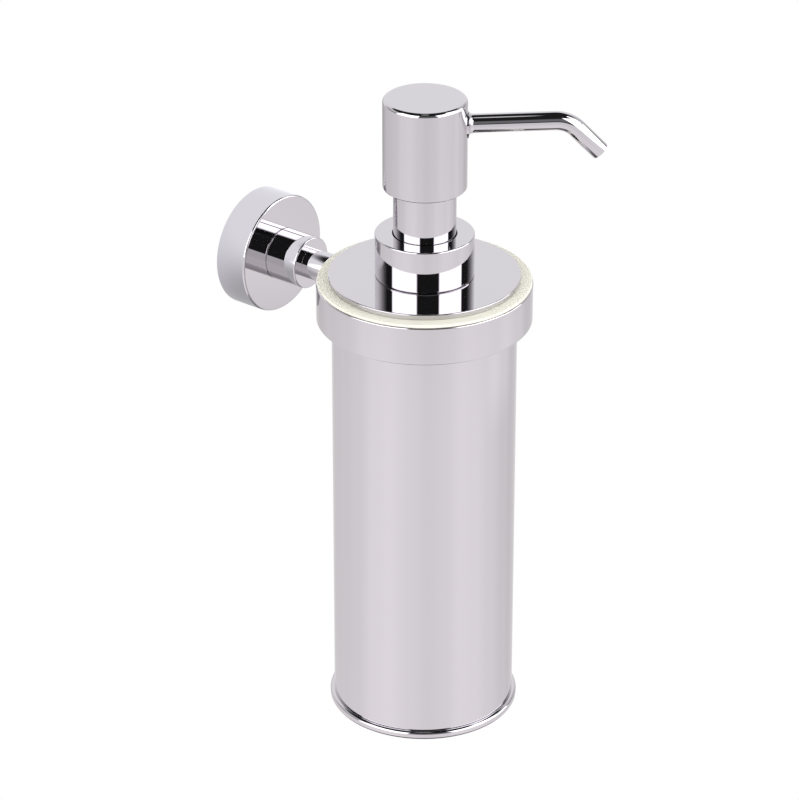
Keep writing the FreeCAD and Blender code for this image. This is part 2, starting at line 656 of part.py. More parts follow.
def collar_insert():
    """Threaded plastic ring inside the collar, keyed by eight grooves."""
    top = "(collar_height - collar_top - fixed_gap)"
    lip_hole = f"({SKIRT_HOLE} + loose_gap)"
    body = turned("collar_insert", "axis", [
        (INSERT_INNER, "insert_foot"), (INSERT_OUTER, "insert_foot"), (INSERT_OUTER, top),
        (lip_hole, top), (lip_hole, f"{top} - insert_lip"),
        (INSERT_INNER, f"{top} - insert_lip")])
    groove = new_sketch(body, "groove", "XY_Plane", offset="insert_foot")
    inside = f"({INSERT_OUTER} - grip_rib_depth)"
    outside = f"({INSERT_OUTER} + grip_rib_depth)"
    outline(groove, [
        (inside, "0 - grip_rib_width / 2"), (outside, "0 - grip_rib_width / 2"),
        (outside, "grip_rib_width / 2"), (inside, "grip_rib_width / 2")])
    cut = pocket(body, "groove_cut", groove, depth="collar_height / 2", forward=True)
    repeat_round(body, cut, 8)


def repeat_round(body, feature, count):
    """Repeat a feature round the body's own Z axis."""
    pattern = body.newObject("PartDesign::PolarPattern", f"{body.Label}_round")
    pattern.Originals = [feature]
    pattern.Axis = (origin_plane(body, "Z_Axis"), [""])
    pattern.Angle = 360
    pattern.Occurrences = count
    body.Tip = pattern
    doc.recompute()


# ---------------------------------------------------------------- pump
def pump_cylinder():
    """Flange on the neck, cup for the skirt, cylinder and dip tube socket."""
    outer = "(bore_radius + cylinder_wall)"
    socket = "(dip_radius + fixed_gap)"
    turned("pump_cylinder", "axis", [
        (CUP_INNER, PUMP_FLANGE_TOP), (CUP_INNER, CUP_FLOOR_TOP), ("bore_radius", CUP_FLOOR_TOP),
        ("bore_radius", SHELF_TOP), ("inlet_radius", SHELF_TOP), ("inlet_radius", SHELF_LOW),
        (socket, SHELF_LOW), (socket, SOCKET_LOW), (f"{socket} + socket_wall", SOCKET_LOW),
        (f"{socket} + socket_wall", SHELF_LOW), (outer, SHELF_LOW), (outer, CUP_FLOOR_LOW),
        (CUP_OUTER, CUP_FLOOR_LOW), (CUP_OUTER, PUMP_FLANGE_LOW),
        ("neck_bush_radius", PUMP_FLANGE_LOW), ("neck_bush_radius", PUMP_FLANGE_TOP)])


def neck_gasket():
    inner = "(neck_bush_radius - neck_bush_wall)"
    top = f"({GASKET_LOW} + gasket)"
    turned("neck_gasket", "axis", [
        (inner, GASKET_LOW), ("neck_bush_radius", GASKET_LOW),
        ("neck_bush_radius", top), (inner, top)])


def guide_cap():
    """Holds the piston in the cylinder and guides the stem."""
    hole = "(stem_radius + running_gap)"
    plug = "(bore_radius - fixed_gap)"
    flange_low = f"({CUP_FLOOR_TOP} + fixed_gap)"
    flange_top = f"({flange_low} + guide_flange)"
    hub_top = f"({flange_top} + guide_hub_height)"
    turned("guide_cap", "axis", [
        (hole, GUIDE_PLUG_LOW), (plug, GUIDE_PLUG_LOW), (plug, flange_low),
        ("guide_flange_radius", flange_low), ("guide_flange_radius", flange_top),
        ("guide_hub_radius", flange_top), ("guide_hub_radius", hub_top), (hole, hub_top)])


def dip_tube():
    """Straight suction tube, from its socket to just above the floor."""
    low = f"({FLOOR_TOP} + dip_clearance)"
    top = f"({SHELF_LOW} - fixed_gap)"
    inner = "(dip_radius - dip_wall)"
    turned("dip_tube", "axis", [
        (inner, low), ("dip_radius", low), ("dip_radius", top), (inner, top)])


def valve_cage():
    """Inverted cup with three windows; it keeps the inlet ball in place."""
    low = f"({SHELF_TOP} + fixed_gap)"
    top = f"({SHELF_TOP} + cage_height)"
    inner = "(cage_radius - cage_wall)"
    body = turned("valve_cage", "axis", [
        (inner, low), ("cage_radius", low), ("cage_radius", top), ("cage_hole", top),
        ("cage_hole", f"{top} - cage_wall"), (inner, f"{top} - cage_wall")])
    window = new_sketch(body, "window", "YZ_Plane")
    outline(window, [
        ("0 - cage_window / 2", f"{SHELF_TOP} + cage_height / 4"),
        ("cage_window / 2", f"{SHELF_TOP} + cage_height / 4"),
        ("cage_window / 2", f"{SHELF_TOP} + cage_height * 3 / 4"),
        ("0 - cage_window / 2", f"{SHELF_TOP} + cage_height * 3 / 4")])
    cut = pocket(body, "window_cut", window, forward=True)
    repeat_round(body, cut, 3)


def ball(label, radius, seat_radius, seat_height):
    """A valve ball just above the round edge that it seals on."""
    lift = f"sqrt(({radius}) ^ 2 - ({seat_radius}) ^ 2)"
    sphere = primitive("Sphere", label, Radius=radius)
    sphere.Label = label
    stand_on_axis(sphere, f"plate_rise + {seat_height} + {lift} + fixed_gap")
    NODES.append(sphere)


def return_spring():
    """Compression spring between the cylinder's shelf and the piston."""
    low = f"({SHELF_TOP} + wire_radius + fixed_gap)"
    height = f"({PISTON_LOW} - wire_radius - fixed_gap - {low})"
    body = new_body("return_spring", "axis")
    wire = new_sketch(body, "wire", "XZ_Plane")
    circles(wire, [("spring_radius", low, "wire_radius")])
    doc.recompute()
    coil = body.newObject("PartDesign::AdditiveHelix", "return_spring_coil")
    coil.Profile = wire
    coil.ReferenceAxis = (wire, ["V_Axis"])
    coil.Mode = 0
    coil.setExpression("Height", bound(height))
    coil.setExpression("Pitch", bound(f"{height} / spring_turns"))
    doc.recompute()


def stem():
    chamber_low = "(stem_top - valve_depth)"
    turned("stem", "axis", [
        ("stem_bore", PISTON_LOW), ("stem_radius", PISTON_LOW), ("stem_radius", "stem_top"),
        ("valve_bore", "stem_top"), ("valve_bore", chamber_low), ("stem_bore", chamber_low)])


def piston():
    hole = "(stem_radius + fixed_gap)"
    outer = "(bore_radius - 3 * running_gap)"
    waist = "(bore_radius - seal_groove)"
    seal_low = f"({PISTON_LOW} + (piston_height - seal_height) / 2)"
    seal_top = f"({seal_low} + seal_height)"
    turned("piston", "axis", [
        (hole, PISTON_LOW), (outer, PISTON_LOW), (outer, seal_low), (waist, seal_low),
        (waist, seal_top), (outer, seal_top), (outer, PISTON_TOP), (hole, PISTON_TOP)])


def piston_seal():
    waist = "(bore_radius - seal_groove + fixed_gap)"
    outer = "(bore_radius - running_gap)"
    low = f"({PISTON_LOW} + (piston_height - seal_height) / 2 + fixed_gap)"
    top = f"({low} + seal_height - 2 * fixed_gap)"
    turned("piston_seal", "axis", [(waist, low), (outer, low), (outer, top), (waist, top)])


# ---------------------------------------------------------------- head
def head_shell():
    inner = "(head_radius - head_wall)"
    under = f"({HEAD_TOP} - head_cap)"
    body = turned("head_shell", "spout", [
        (inner, HEAD_LOW), ("head_radius", HEAD_LOW), ("head_radius", HEAD_TOP),
        ("0", HEAD_TOP), ("0", under), (inner, under)])
    low = size("collar_height") + size("head_rise")
    radius = size("head_radius")
    soften(body, "Fillet", "head_edge", [(radius, low + size("head_height"))])
    soften(body, "Fillet", "head_low_edge", [(radius, low)])
    opening = new_sketch(body, "spout_hole", "YZ_Plane")
    circles(opening, [("0", SPOUT_Z, "spout_radius + fixed_gap")])
    pocket(body, "spout_hole_cut", opening, forward=True)


def skirt_sleeve():
    """Closes the head from below and hides the stem inside the collar."""
    flange = "(head_radius - head_wall - fixed_gap)"
    inner = "(skirt_radius - skirt_wall)"
    low = "(collar_height - skirt_engagement)"
    top = f"({HEAD_LOW} + skirt_flange)"
    turned("skirt_sleeve", "axis", [
        (inner, low), ("skirt_radius", low), ("skirt_radius", HEAD_LOW), (flange, HEAD_LOW),
        (flange, top), (inner, top)])


def head_core():
    """Plastic core: socket for the stem and passage to the spout."""
    outer = "(head_radius - head_wall - 2 * fixed_gap)"
    socket = "(stem_radius + fixed_gap)"
    socket_top = "(stem_top + fixed_gap)"
    body = turned("head_core", "spout", [
        (socket, CORE_LOW), ("core_post_radius", CORE_LOW), ("core_post_radius", CORE_STEP),
        (outer, CORE_STEP), (outer, CORE_TOP), ("0", CORE_TOP), ("0", f"{SPOUT_Z} + stem_bore"),
        ("stem_bore", f"{SPOUT_Z} + stem_bore"), ("stem_bore", socket_top), (socket, socket_top)])
    seat = new_sketch(body, "spout_seat", "YZ_Plane", offset="spout_root - fixed_gap")
    circles(seat, [("0", SPOUT_Z, "spout_radius + fixed_gap")])
    pocket(body, "spout_seat_cut", seat, forward=True)
    passage = new_sketch(body, "passage", "YZ_Plane")
    circles(passage, [("0", SPOUT_Z, "stem_bore")])
    pocket(body, "passage_cut", passage, depth="spout_root", forward=True)


def bent_tube(label, outer, inner, end_length):
    """A tube along the spout's centre line: straight, bend, straight."""
    body = new_body(label, "spout")
    path = new_sketch(body, "path", "XZ_Plane", lift=SPOUT_Z)
    root, straight, radius = size("spout_root"), size("spout_straight"), size("spout_bend_radius")
    angle = math.radians(size("spout_bend_angle"))
    leave = (straight + radius * math.sin(angle), radius * (math.cos(angle) - 1))
    tip = (leave[0] + size("spout_end") * math.cos(angle),
           leave[1] - size("spout_end") * math.sin(angle))
    leave_text = ("spout_straight + spout_bend_radius * sin(spout_bend_angle)",
                  "spout_bend_radius * (cos(spout_bend_angle) - 1)")
    tip_text = (f"{leave_text[0]} + ({end_length}) * cos(spout_bend_angle)",
                f"{leave_text[1]} - ({end_length}) * sin(spout_bend_angle)")
    bound_line(path, (root, 0), (straight, 0), ("spout_root", "0"), ("spout_straight", "0"))
    bound_line(path, leave, tip, leave_text, tip_text)
    centre = Part.Circle(Vector(straight, -radius, 0), Vector(0, 0, 1), radius)
    path.addGeometry(Part.ArcOfCircle(centre, math.pi / 2 - angle, math.pi / 2), False)
    bound_arc(path, 2, (1, 1), (0, 2), "spout_straight")
    ring = new_sketch(body, "ring", "YZ_Plane", offset="spout_root")
    circles(ring, [("0", SPOUT_Z, outer), ("0", SPOUT_Z, inner)])
    doc.recompute()
    pipe = body.newObject("PartDesign::AdditivePipe", f"{label}_pipe")
    pipe.Profile = ring
    pipe.Spine = (path, ["Edge1", "Edge3", "Edge2"])
    doc.recompute()
    length = sum(edge.Length for edge in path.Shape.Edges)
    section = ring.Shape.Edges[0].Curve.Radius ** 2 - ring.Shape.Edges[1].Curve.Radius ** 2
    print(f"{label}: volume {body.Shape.Volume:.1f}, section x length",
          f"{abs(section) * math.pi * length:.1f}")


def spout_ferrule():
    """Concave ring where the spout meets the head's round side."""
    body = new_body("spout_ferrule", "spout")
    sketch = new_sketch(body, "outline", "XZ_Plane", lift=SPOUT_Z)
    inner = size("spout_radius") + size("fixed_gap")
    near = size("head_radius") - size("ferrule")
    face = size("head_radius")
    far = face + size("ferrule")
    land = inner + size("ferrule_land")
    high = land + size("ferrule")
    inner_text = "spout_radius + fixed_gap"
    land_text = f"{inner_text} + ferrule_land"
    high_text = f"{land_text} + ferrule"
    near_text = "head_radius - ferrule"
    far_text = "head_radius + ferrule"
    corners = [
        ((face, high), ("head_radius", high_text)), ((near, high), (near_text, high_text)),
        ((near, inner), (near_text, inner_text)), ((far, inner), (far_text, inner_text)),
        ((far, land), (far_text, land_text))]
    for (start, start_text), (end, end_text) in zip(corners, corners[1:]):
        bound_line(sketch, start, end, start_text, end_text)
    curve = Part.Circle(Vector(far, high, 0), Vector(0, 0, 1), size("ferrule"))
    sketch.addGeometry(Part.ArcOfCircle(curve, math.pi, 3 * math.pi / 2), False)
    bound_arc(sketch, 4, (0, 1), (3, 2), far_text)
    turn = body.newObject("PartDesign::Revolution", "spout_ferrule_turned")
    turn.Profile = sketch
    turn.ReferenceAxis = (sketch, ["H_Axis"])
    turn.Angle = 360
    doc.recompute()
    saddle = new_sketch(body, "saddle", "XY_Plane", offset=SPOUT_Z)
    circles(saddle, [("0", "0", "head_radius")])
    pocket(body, "saddle_cut", saddle, depth="8 * spout_radius", both=True)


# ---------------------------------------------------------------- build
wall_bracket()
wall_flange()
flange_grub_screw()
arm_screw()
arm_stub()
arm_neck()
ring_holder()
ring_liner()
container_tube()
container_base()
top_plate()
neck_bush()
collar_shell()
collar_insert()
pump_cylinder()
neck_gasket()
guide_cap()
dip_tube()
valve_cage()
ball("inlet_ball", "inlet_ball_radius", "inlet_radius", SHELF_TOP)
return_spring()
stem()
piston()
piston_seal()
ball("outlet_ball", "outlet_ball_radius", "stem_bore", "stem_top - valve_depth")
head_shell()
skirt_sleeve()
head_core()
bent_tube("spout_tube", "spout_radius", "spout_radius - spout_wall", "spout_end")
bent_tube("spout_hose", "spout_radius - spout_wall - fixed_gap",
          "spout_radius - spout_wall - fixed_gap - hose_wall", "spout_end - hose_setback")
spout_ferrule()
doc.recompute()

# ---------------------------------------------------------------- check, write
for thing in doc.Objects:
    if "Invalid" in thing.State or "Error" in thing.State:
        raise RuntimeError(f"{thing.Name} failed: {thing.State}")
for node in NODES:
    if node.Shape.isNull() or not node.Shape.isValid() or len(node.Shape.Solids) != 1:
        raise RuntimeError(f"{node.Label} is not one valid solid")
for node in NODES:
    node.Shape.exportStep(f"parts/{node.Label}.step")
    print(f"{node.Label:18s} {node.Shape.Volume:10.1f} mm3")
print(len(NODES), "pieces")
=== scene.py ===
# %% [markdown]
# # A wall mounted soap dispenser
# The real object is a polished chrome cylinder with a press pump. It hangs in
# a ring on a short arm. Nearly every visible piece was turned on a lathe and
# then plated, so most pieces here are turned too: an outline is drawn with
# extrude, and spin takes it round its axis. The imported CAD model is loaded
# first. It fixes every size and place, and the new pieces stand for its nodes.

# %% Load the frame
import json
import math

import bpy
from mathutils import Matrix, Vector


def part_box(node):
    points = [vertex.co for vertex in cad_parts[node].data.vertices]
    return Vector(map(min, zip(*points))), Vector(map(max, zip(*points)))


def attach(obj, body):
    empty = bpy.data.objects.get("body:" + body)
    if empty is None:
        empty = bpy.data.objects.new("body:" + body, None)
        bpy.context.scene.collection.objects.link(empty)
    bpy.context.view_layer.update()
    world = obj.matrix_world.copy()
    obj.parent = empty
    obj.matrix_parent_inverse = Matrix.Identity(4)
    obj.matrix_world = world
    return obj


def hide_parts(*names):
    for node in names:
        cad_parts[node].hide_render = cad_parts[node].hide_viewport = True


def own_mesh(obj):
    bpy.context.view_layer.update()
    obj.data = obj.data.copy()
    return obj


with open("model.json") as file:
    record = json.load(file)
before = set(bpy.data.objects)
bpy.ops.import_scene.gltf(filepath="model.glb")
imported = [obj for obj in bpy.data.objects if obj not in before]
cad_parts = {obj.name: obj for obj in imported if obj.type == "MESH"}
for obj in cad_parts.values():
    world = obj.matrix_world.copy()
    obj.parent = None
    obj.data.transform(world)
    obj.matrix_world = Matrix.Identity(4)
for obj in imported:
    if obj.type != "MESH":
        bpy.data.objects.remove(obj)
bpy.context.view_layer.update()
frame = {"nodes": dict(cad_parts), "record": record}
nodes = frame["nodes"]
MM = 0.001
print("CAD nodes:", len(nodes))

# %% [markdown]
# Sizes come from the frame. A node's box gives its radius, its axis and its
# ends, so each new piece lands exactly where its node is. Only what a box
# can't tell, such as a wall's thickness or an edge's rounding, is named here.

# %% Read the sizes from the frame


def cylinder_of(name):
    """Radius, low end and high end of an upright round node."""
    low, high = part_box(name)
    return (high[0] - low[0]) / 2, low[2], high[2]


def along_arm(name):
    """Radius, near end and far end of a round node on the arm, from the wall."""
    low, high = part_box(name)
    return (high[0] - low[0]) / 2, -high[1], -low[1]


tube_low_corner, tube_high_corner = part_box("container_tube")
AXIS = Vector(((tube_low_corner[0] + tube_high_corner[0]) / 2,
               (tube_low_corner[1] + tube_high_corner[1]) / 2, 0.0))
tube_radius, tube_low, tube_high = cylinder_of("container_tube")
base_radius, base_low, base_spigot_top = cylinder_of("container_base")
plate_radius, plate_spigot_low, plate_top = cylinder_of("top_plate")
band_radius, band_low, band_top = cylinder_of("ring_holder")
liner_radius, liner_low, liner_top = cylinder_of("ring_liner")
collar_radius, collar_low, collar_top = cylinder_of("collar_shell")
head_radius, head_low, head_top = cylinder_of("head_shell")
skirt_flange_radius, skirt_low, skirt_flange_top = cylinder_of("skirt_sleeve")
cover_radius, cover_rear, cover_front = along_arm("wall_flange")
stub_radius, stub_near, stub_far = along_arm("arm_stub")
neck_radius, _, neck_far = along_arm("arm_neck")
print("container axis at y =", round(AXIS.y, 4), "m; tube radius", round(tube_radius, 4), "m")

# %% [markdown]
# A box says nothing of a wall's thickness, a hole or a bend. Those sizes could be
# measured on the node's mesh, but a short table of names is easier to read and
# to change, so they are written here once and used by name below.

# %% Name the sizes that a box can't give
WALL = {"tube": 1.2 * MM, "band": 1.9 * MM, "collar": 1.2 * MM, "collar_top": 1.3 * MM,
        "cover": 1.4 * MM, "cover_face": 1.6 * MM, "head": 1.3 * MM, "head_cap": 1.8 * MM,
        "skirt": 1.0 * MM, "skirt_flange": 1.4 * MM, "spout": 0.9 * MM}
PLATE_THICKNESS = 2.0 * MM
LINER_FLANGE = 1.0 * MM
BASE_LIP = 3.0 * MM
BASE_FLOOR = 2.4 * MM
BASE_FOOT = 3.5 * MM
BASE_GROOVE_END = 5.0 * MM
BASE_GROOVE = 0.5 * MM
PLUG_WALL = 1.5 * MM
COVER_HOLE = 2.55 * MM
SOCKET_DEPTH = 2.0 * MM
SOCKET_STEP = 0.5 * MM
SKIRT_RADIUS = 10.95 * MM
SKIRT_HOLE = 11.25 * MM
NECK_HOLE = 14.45 * MM
TUBE_CLEARANCE = 0.3 * MM
SPOUT_RADIUS = 3.3 * MM
SPOUT_DROP = 9.8 * MM
SPOUT_ROOT = 5.0 * MM
SPOUT_STRAIGHT = 44.5 * MM
SPOUT_BEND_RADIUS = 10.5 * MM
SPOUT_BEND = math.radians(46.5)
SPOUT_END = 11.9 * MM
SPOUT_TURN = math.radians(43.0)
spout_height = head_top - SPOUT_DROP
print("spout's axis at z =", round(spout_height, 4), "m")

# %% [markdown]
# **Drawing and turning.** A real edge is never perfectly sharp: plating and
# polishing round it, and that thin round catches the light. So an outline
# takes a rounding for each corner. The arc's points come from a formula, with
# one more point just outside each end of the arc. That keeps the flat faces
# beside it truly flat, which matters on a mirror finish.

# %% Round the corners of an outline
ARC_STEPS = 6
HOLD = 0.06 * MM


def rounded(corners):
    """Turn (radius, height, rounding) corners into the points of an outline."""
    points = []
    count = len(corners)
    for index, (across, along, rounding) in enumerate(corners):
        corner = Vector((across, along))
        if rounding == 0:
            points.append(corner)
            continue
        before = (Vector(corners[index - 1][:2]) - corner).normalized()
        after = (Vector(corners[(index + 1) % count][:2]) - corner).normalized()
        half = before.angle(after) / 2
        reach = rounding / math.tan(half)
        centre = corner + (before + after).normalized() * (rounding / math.sin(half))
        start = corner + before * reach
        end = corner + after * reach
        points.append(start + before * HOLD)
        sweep = (start - centre).angle_signed(end - centre)
        for step in range(ARC_STEPS + 1):
            turn = -sweep * step / ARC_STEPS
            spoke = start - centre
            points.append(centre + Vector((
                spoke.x * math.cos(turn) - spoke.y * math.sin(turn),
                spoke.x * math.sin(turn) + spoke.y * math.cos(turn))))
        points.append(end + after * HOLD)
    return points


# %% [markdown]
# **Starting and finishing.** Every piece begins as a primitive and ends in the
# same way: doubled points are merged, faces turn outwards, its place goes into
# the mesh, and shading is smooth except at real edges. Two small functions do
# that, so no piece can miss a step. Riding a body makes the piece move with it.

# %% Start a piece and finish a piece


def start_piece(name):
    """Name the primitive that was just added and go into edit mode."""
    piece = bpy.context.object
    piece.name = name
    piece.data.name = name
    bpy.ops.object.mode_set(mode="EDIT")
    return piece


def finish_piece(piece, body, slot, *replaced, sharp=35):
    """Close the mesh, smooth it, put its place in the mesh and let it ride."""
    bpy.ops.object.mode_set(mode="EDIT")
    bpy.ops.mesh.select_all(action="SELECT")
    bpy.ops.mesh.remove_doubles(threshold=0.001 * MM)
    bpy.ops.mesh.normals_make_consistent(inside=False)
    bpy.ops.object.mode_set(mode="OBJECT")
    bpy.ops.object.transform_apply(location=True, rotation=True, scale=True)
    bpy.ops.object.shade_smooth_by_angle(angle=math.radians(sharp))
    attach(piece, body)
    if replaced:
        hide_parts(*replaced)
    print(f"{piece.name}: {len(piece.data.vertices)} vertices")
    return piece


# %% [markdown]
# **Turning.** A lathe makes a round piece from one outline, and spin does the
# same. A screw modifier or a stack of cylinders would also work, but with spin
# every step and every rounding stays in one outline that reads like a drawing.

# %% Turn an outline round an axis
ROUND_STEPS = 192


def turned(name, corners, axis="Z", centre=AXIS, steps=ROUND_STEPS):
    """Draw an outline by extruding a point, then spin it round its axis."""
    def place(point):
        if axis == "Z":
            return Vector((centre.x + point.x, centre.y, point.y))
        return Vector((point.x, -point.y, 0.0))

    points = [place(point) for point in rounded(corners)]
    bpy.ops.object.select_all(action="DESELECT")
    bpy.ops.mesh.primitive_plane_add(size=MM, location=points[0])
    piece = start_piece(name)
    bpy.ops.mesh.select_all(action="SELECT")
    bpy.ops.mesh.merge(type="CENTER")
    bpy.ops.mesh.select_all(action="SELECT")
    for here, there in zip(points, points[1:] + points[:1]):
        bpy.ops.mesh.extrude_region_move(TRANSFORM_OT_translate={"value": there - here})
    bpy.ops.mesh.select_all(action="SELECT")
    bpy.ops.mesh.remove_doubles(threshold=0.001 * MM)
    bpy.ops.mesh.select_all(action="SELECT")
    middle = (centre.x, centre.y, 0) if axis == "Z" else (0, 0, 0)
    direction = (0, 0, 1) if axis == "Z" else (0, 1, 0)
    bpy.ops.mesh.spin(steps=steps, angle=2 * math.pi, center=middle, axis=direction)
    return piece


# %% [markdown]
# ## Container
# A thin drawn tube with a base whose lip stands out by a millimetre or two.
# The lip's two edges are well rounded, and a fine groove shows where the tube
# meets it. The lid plate closes the top and hangs over the tube.

# %% [markdown]
# The tube is drawn brass, 1.2 mm thick and open at both ends. A cylinder with a
# solidify modifier would do; turning its four corners gives rounded rims too.

# %% Container tube
tube_inner = tube_radius - WALL["tube"]
tube = turned("container_tube_chrome", [
    (tube_inner, tube_low, 0), (tube_radius, tube_low, 0.25 * MM),
    (tube_radius, tube_high, 0.25 * MM), (tube_inner, tube_high, 0)], steps=256)
finish_piece(tube, "container", "chrome_brass", "container_tube")

# %% [markdown]
# The base is a shallow cup that plugs the tube and carries it on a thicker lip.
# It is one outline: lip, groove under it, plug and floor. A torus for the lip
# would look alike from above but would leave the underside wrong.

# %% Container base
lip_top = base_low + BASE_LIP
spigot = tube_inner - 0.05 * MM
spigot_inner = spigot - PLUG_WALL
base = turned("container_base_chrome", [
    (0, base_low, 0), (base_radius - BASE_GROOVE_END, base_low, 0.4 * MM),
    (base_radius - BASE_GROOVE_END, base_low + BASE_GROOVE, 0.15 * MM),
    (base_radius - BASE_FOOT, base_low + BASE_GROOVE, 0.15 * MM),
    (base_radius - BASE_FOOT, base_low, 0.4 * MM),
    (base_radius, base_low, 1.0 * MM), (base_radius, lip_top, 1.1 * MM),
    (spigot, lip_top, 0), (spigot, base_spigot_top, 0.2 * MM),
    (spigot_inner, base_spigot_top, 0.2 * MM), (spigot_inner, base_low + BASE_FLOOR, 0.3 * MM),
    (0, base_low + BASE_FLOOR, 0)], steps=256)
finish_piece(base, "container", "chrome_brass", "container_base")

# %% [markdown]
# The lid is a disc with a hole for the pump's neck and a short plug in the tube.
# Its top has to be perfectly flat, because it mirrors the collar that stands
# on it, so it's a single ring of faces with only its rim rounded.

# %% Lid plate
plate_under = plate_top - PLATE_THICKNESS
plate = turned("lid_plate_chrome", [
    (NECK_HOLE, plate_top, 0.2 * MM), (plate_radius, plate_top, 0.35 * MM),
    (plate_radius, plate_under, 0.3 * MM), (spigot, plate_under, 0),
    (spigot, plate_spigot_low, 0.2 * MM), (spigot_inner, plate_spigot_low, 0.2 * MM),
    (spigot_inner, plate_under, 0), (NECK_HOLE, plate_under, 0)], steps=256)
finish_piece(plate, "container", "chrome_brass", "top_plate")

# %% [markdown]
# ## Ring and bushing
# The ring is a plain band. Inside it sits a pale plastic bushing, which keeps
# metal from grinding on metal; only its flange shows, as a thin ivory line.

# %% [markdown]
# The ring is a strip rolled and joined, or a slice of tube. Its outside is plain;
# only both rims are broken by half a millimetre, which draws the bright lines
# along its edges.

# %% Ring
band_inner = band_radius - WALL["band"]
band = turned("ring_band_chrome", [
    (band_inner, band_low, 0.4 * MM), (band_radius, band_low, 0.6 * MM),
    (band_radius, band_top, 0.5 * MM), (band_inner, band_top, 0.3 * MM)], steps=256)
finish_piece(band, "wall_arm", "chrome_brass", "ring_holder")

# %% [markdown]
# The bushing is moulded plastic: a sleeve with a flange that lies on the ring.
# The lid's rim lies on that flange, so the container hangs and turns in it.
# Flange and sleeve share one outline.

# %% Bushing
liner_inner = tube_radius + TUBE_CLEARANCE
sleeve_radius = band_inner - TUBE_CLEARANCE
flange_under = liner_top - LINER_FLANGE
liner = turned("bushing_ivory", [
    (liner_inner, liner_low, 0.3 * MM), (sleeve_radius, liner_low, 0.3 * MM),
    (sleeve_radius, flange_under, 0), (liner_radius, flange_under, 0.15 * MM),
    (liner_radius, liner_top, 0.35 * MM), (liner_inner, liner_top, 0.2 * MM)], steps=256)
finish_piece(liner, "bushing", "ivory_plastic", "ring_liner")

# %% [markdown]
# ## Collar and pump head
# The collar is a thin cap screwed on the neck. The skirt slides into a hole in
# its top. The head is a tall cup, rounded on its top edge, with the skirt's
# flange set into its open underside.

# %% [markdown]
# The collar is what a hand turns to open the container. The real one is smooth
# too, with no knurl. It's a cap with a hole, so its outline is an open hook.

# %% Collar
collar_inner = collar_radius - WALL["collar"]
collar_under = collar_top - WALL["collar_top"]
collar = turned("screw_collar_chrome", [
    (collar_inner, collar_low, 0.2 * MM), (collar_radius, collar_low, 0.6 * MM),
    (collar_radius, collar_top, 0.5 * MM), (SKIRT_HOLE, collar_top, 0.2 * MM),
    (SKIRT_HOLE, collar_under, 0), (collar_inner, collar_under, 0)])
finish_piece(collar, "collar", "chrome_brass", "collar_shell")

# %% [markdown]
# The head is the push button. Its top edge has the largest round of all, since a
# palm presses it. A cylinder with a bevel modifier is another way; the outline
# keeps the flat top and the wall exact beside the round.

# %% Head
head_inner = head_radius - WALL["head"]
cap_under = head_top - WALL["head_cap"]
head = turned("pump_head_chrome", [
    (head_inner, head_low, 0.1 * MM), (head_radius, head_low, 0.6 * MM),
    (head_radius, head_top, 1.5 * MM), (0, head_top, 0), (0, cap_under, 0),
    (head_inner, cap_under, 0.5 * MM)])
finish_piece(head, "head", "chrome_brass", "head_shell")

# %% [markdown]
# The skirt is a thin sleeve that slides in the collar and hides the stem. Its
# upper end has a flange inside the head, so the two pieces meet as real ones do.

# %% Skirt
skirt_inner = SKIRT_RADIUS - WALL["skirt"]
skirt = turned("pump_skirt_chrome", [
    (skirt_inner, skirt_low, 0.2 * MM), (SKIRT_RADIUS, skirt_low, 0.3 * MM),
    (SKIRT_RADIUS, head_low + 0.05 * MM, 0.2 * MM),
    (skirt_flange_radius, head_low + 0.05 * MM, 0.1 * MM),
    (skirt_flange_radius, skirt_flange_top, 0), (skirt_inner, skirt_flange_top, 0)])
finish_piece(skirt, "head", "chrome_brass", "skirt_sleeve")

# %% [markdown]
# ## Spout
# A bent tube. A circle is extruded along the straight part, spun round the
# bend's centre and extruded again. Solidify then gives it a wall, and a small
# bevel rounds the mouth. A concave root joins it to the head, as brazing does.

# %% [markdown]
# The spout doesn't point along X or Y. Two directions, outward along the spout
# and sideways across it, let every later step be written as if it did.

# %% Directions on the spout
outward = Vector((math.cos(SPOUT_TURN - math.pi / 2), math.sin(SPOUT_TURN - math.pi / 2), 0))
sideways = Vector((0, 0, 1)).cross(outward)


def on_spout(distance, rise=0.0):
    """A point in the spout's plane, from the head's axis."""
    return AXIS + outward * distance + Vector((0, 0, spout_height + rise))


# %% [markdown]
# The real tube is cut, bent on a former and brazed in. A curve with a round bevel
# would be quick, but then its bend is only roughly round. Extrude, spin and
# extrude follow the bending machine: straight, an arc of one radius, straight.

# %% Spout tube
SPOUT_SIDES = 64
BEND_STEPS = 20
facing_out = outward.to_track_quat("Z", "Y").to_euler()
bpy.ops.object.select_all(action="DESELECT")
bpy.ops.mesh.primitive_circle_add(vertices=SPOUT_SIDES, radius=SPOUT_RADIUS,
                                  location=on_spout(SPOUT_ROOT), rotation=facing_out)
spout = start_piece("spout_chrome")
bpy.ops.mesh.select_all(action="SELECT")
straight = outward * (SPOUT_STRAIGHT - SPOUT_ROOT)
bpy.ops.mesh.extrude_region_move(TRANSFORM_OT_translate={"value": straight})
bend_centre = on_spout(SPOUT_STRAIGHT, -SPOUT_BEND_RADIUS)
bpy.ops.mesh.spin(steps=BEND_STEPS, angle=SPOUT_BEND, center=bend_centre, axis=-sideways)
tip = outward * math.cos(SPOUT_BEND) - Vector((0, 0, math.sin(SPOUT_BEND)))
bpy.ops.mesh.extrude_region_move(TRANSFORM_OT_translate={"value": tip * SPOUT_END})
bpy.ops.mesh.select_all(action="SELECT")
bpy.ops.mesh.remove_doubles(threshold=0.001 * MM)
bpy.ops.mesh.normals_make_consistent(inside=False)
bpy.ops.object.mode_set(mode="OBJECT")
wall = spout.modifiers.new("wall", "SOLIDIFY")
wall.thickness = WALL["spout"]
wall.offset = -1
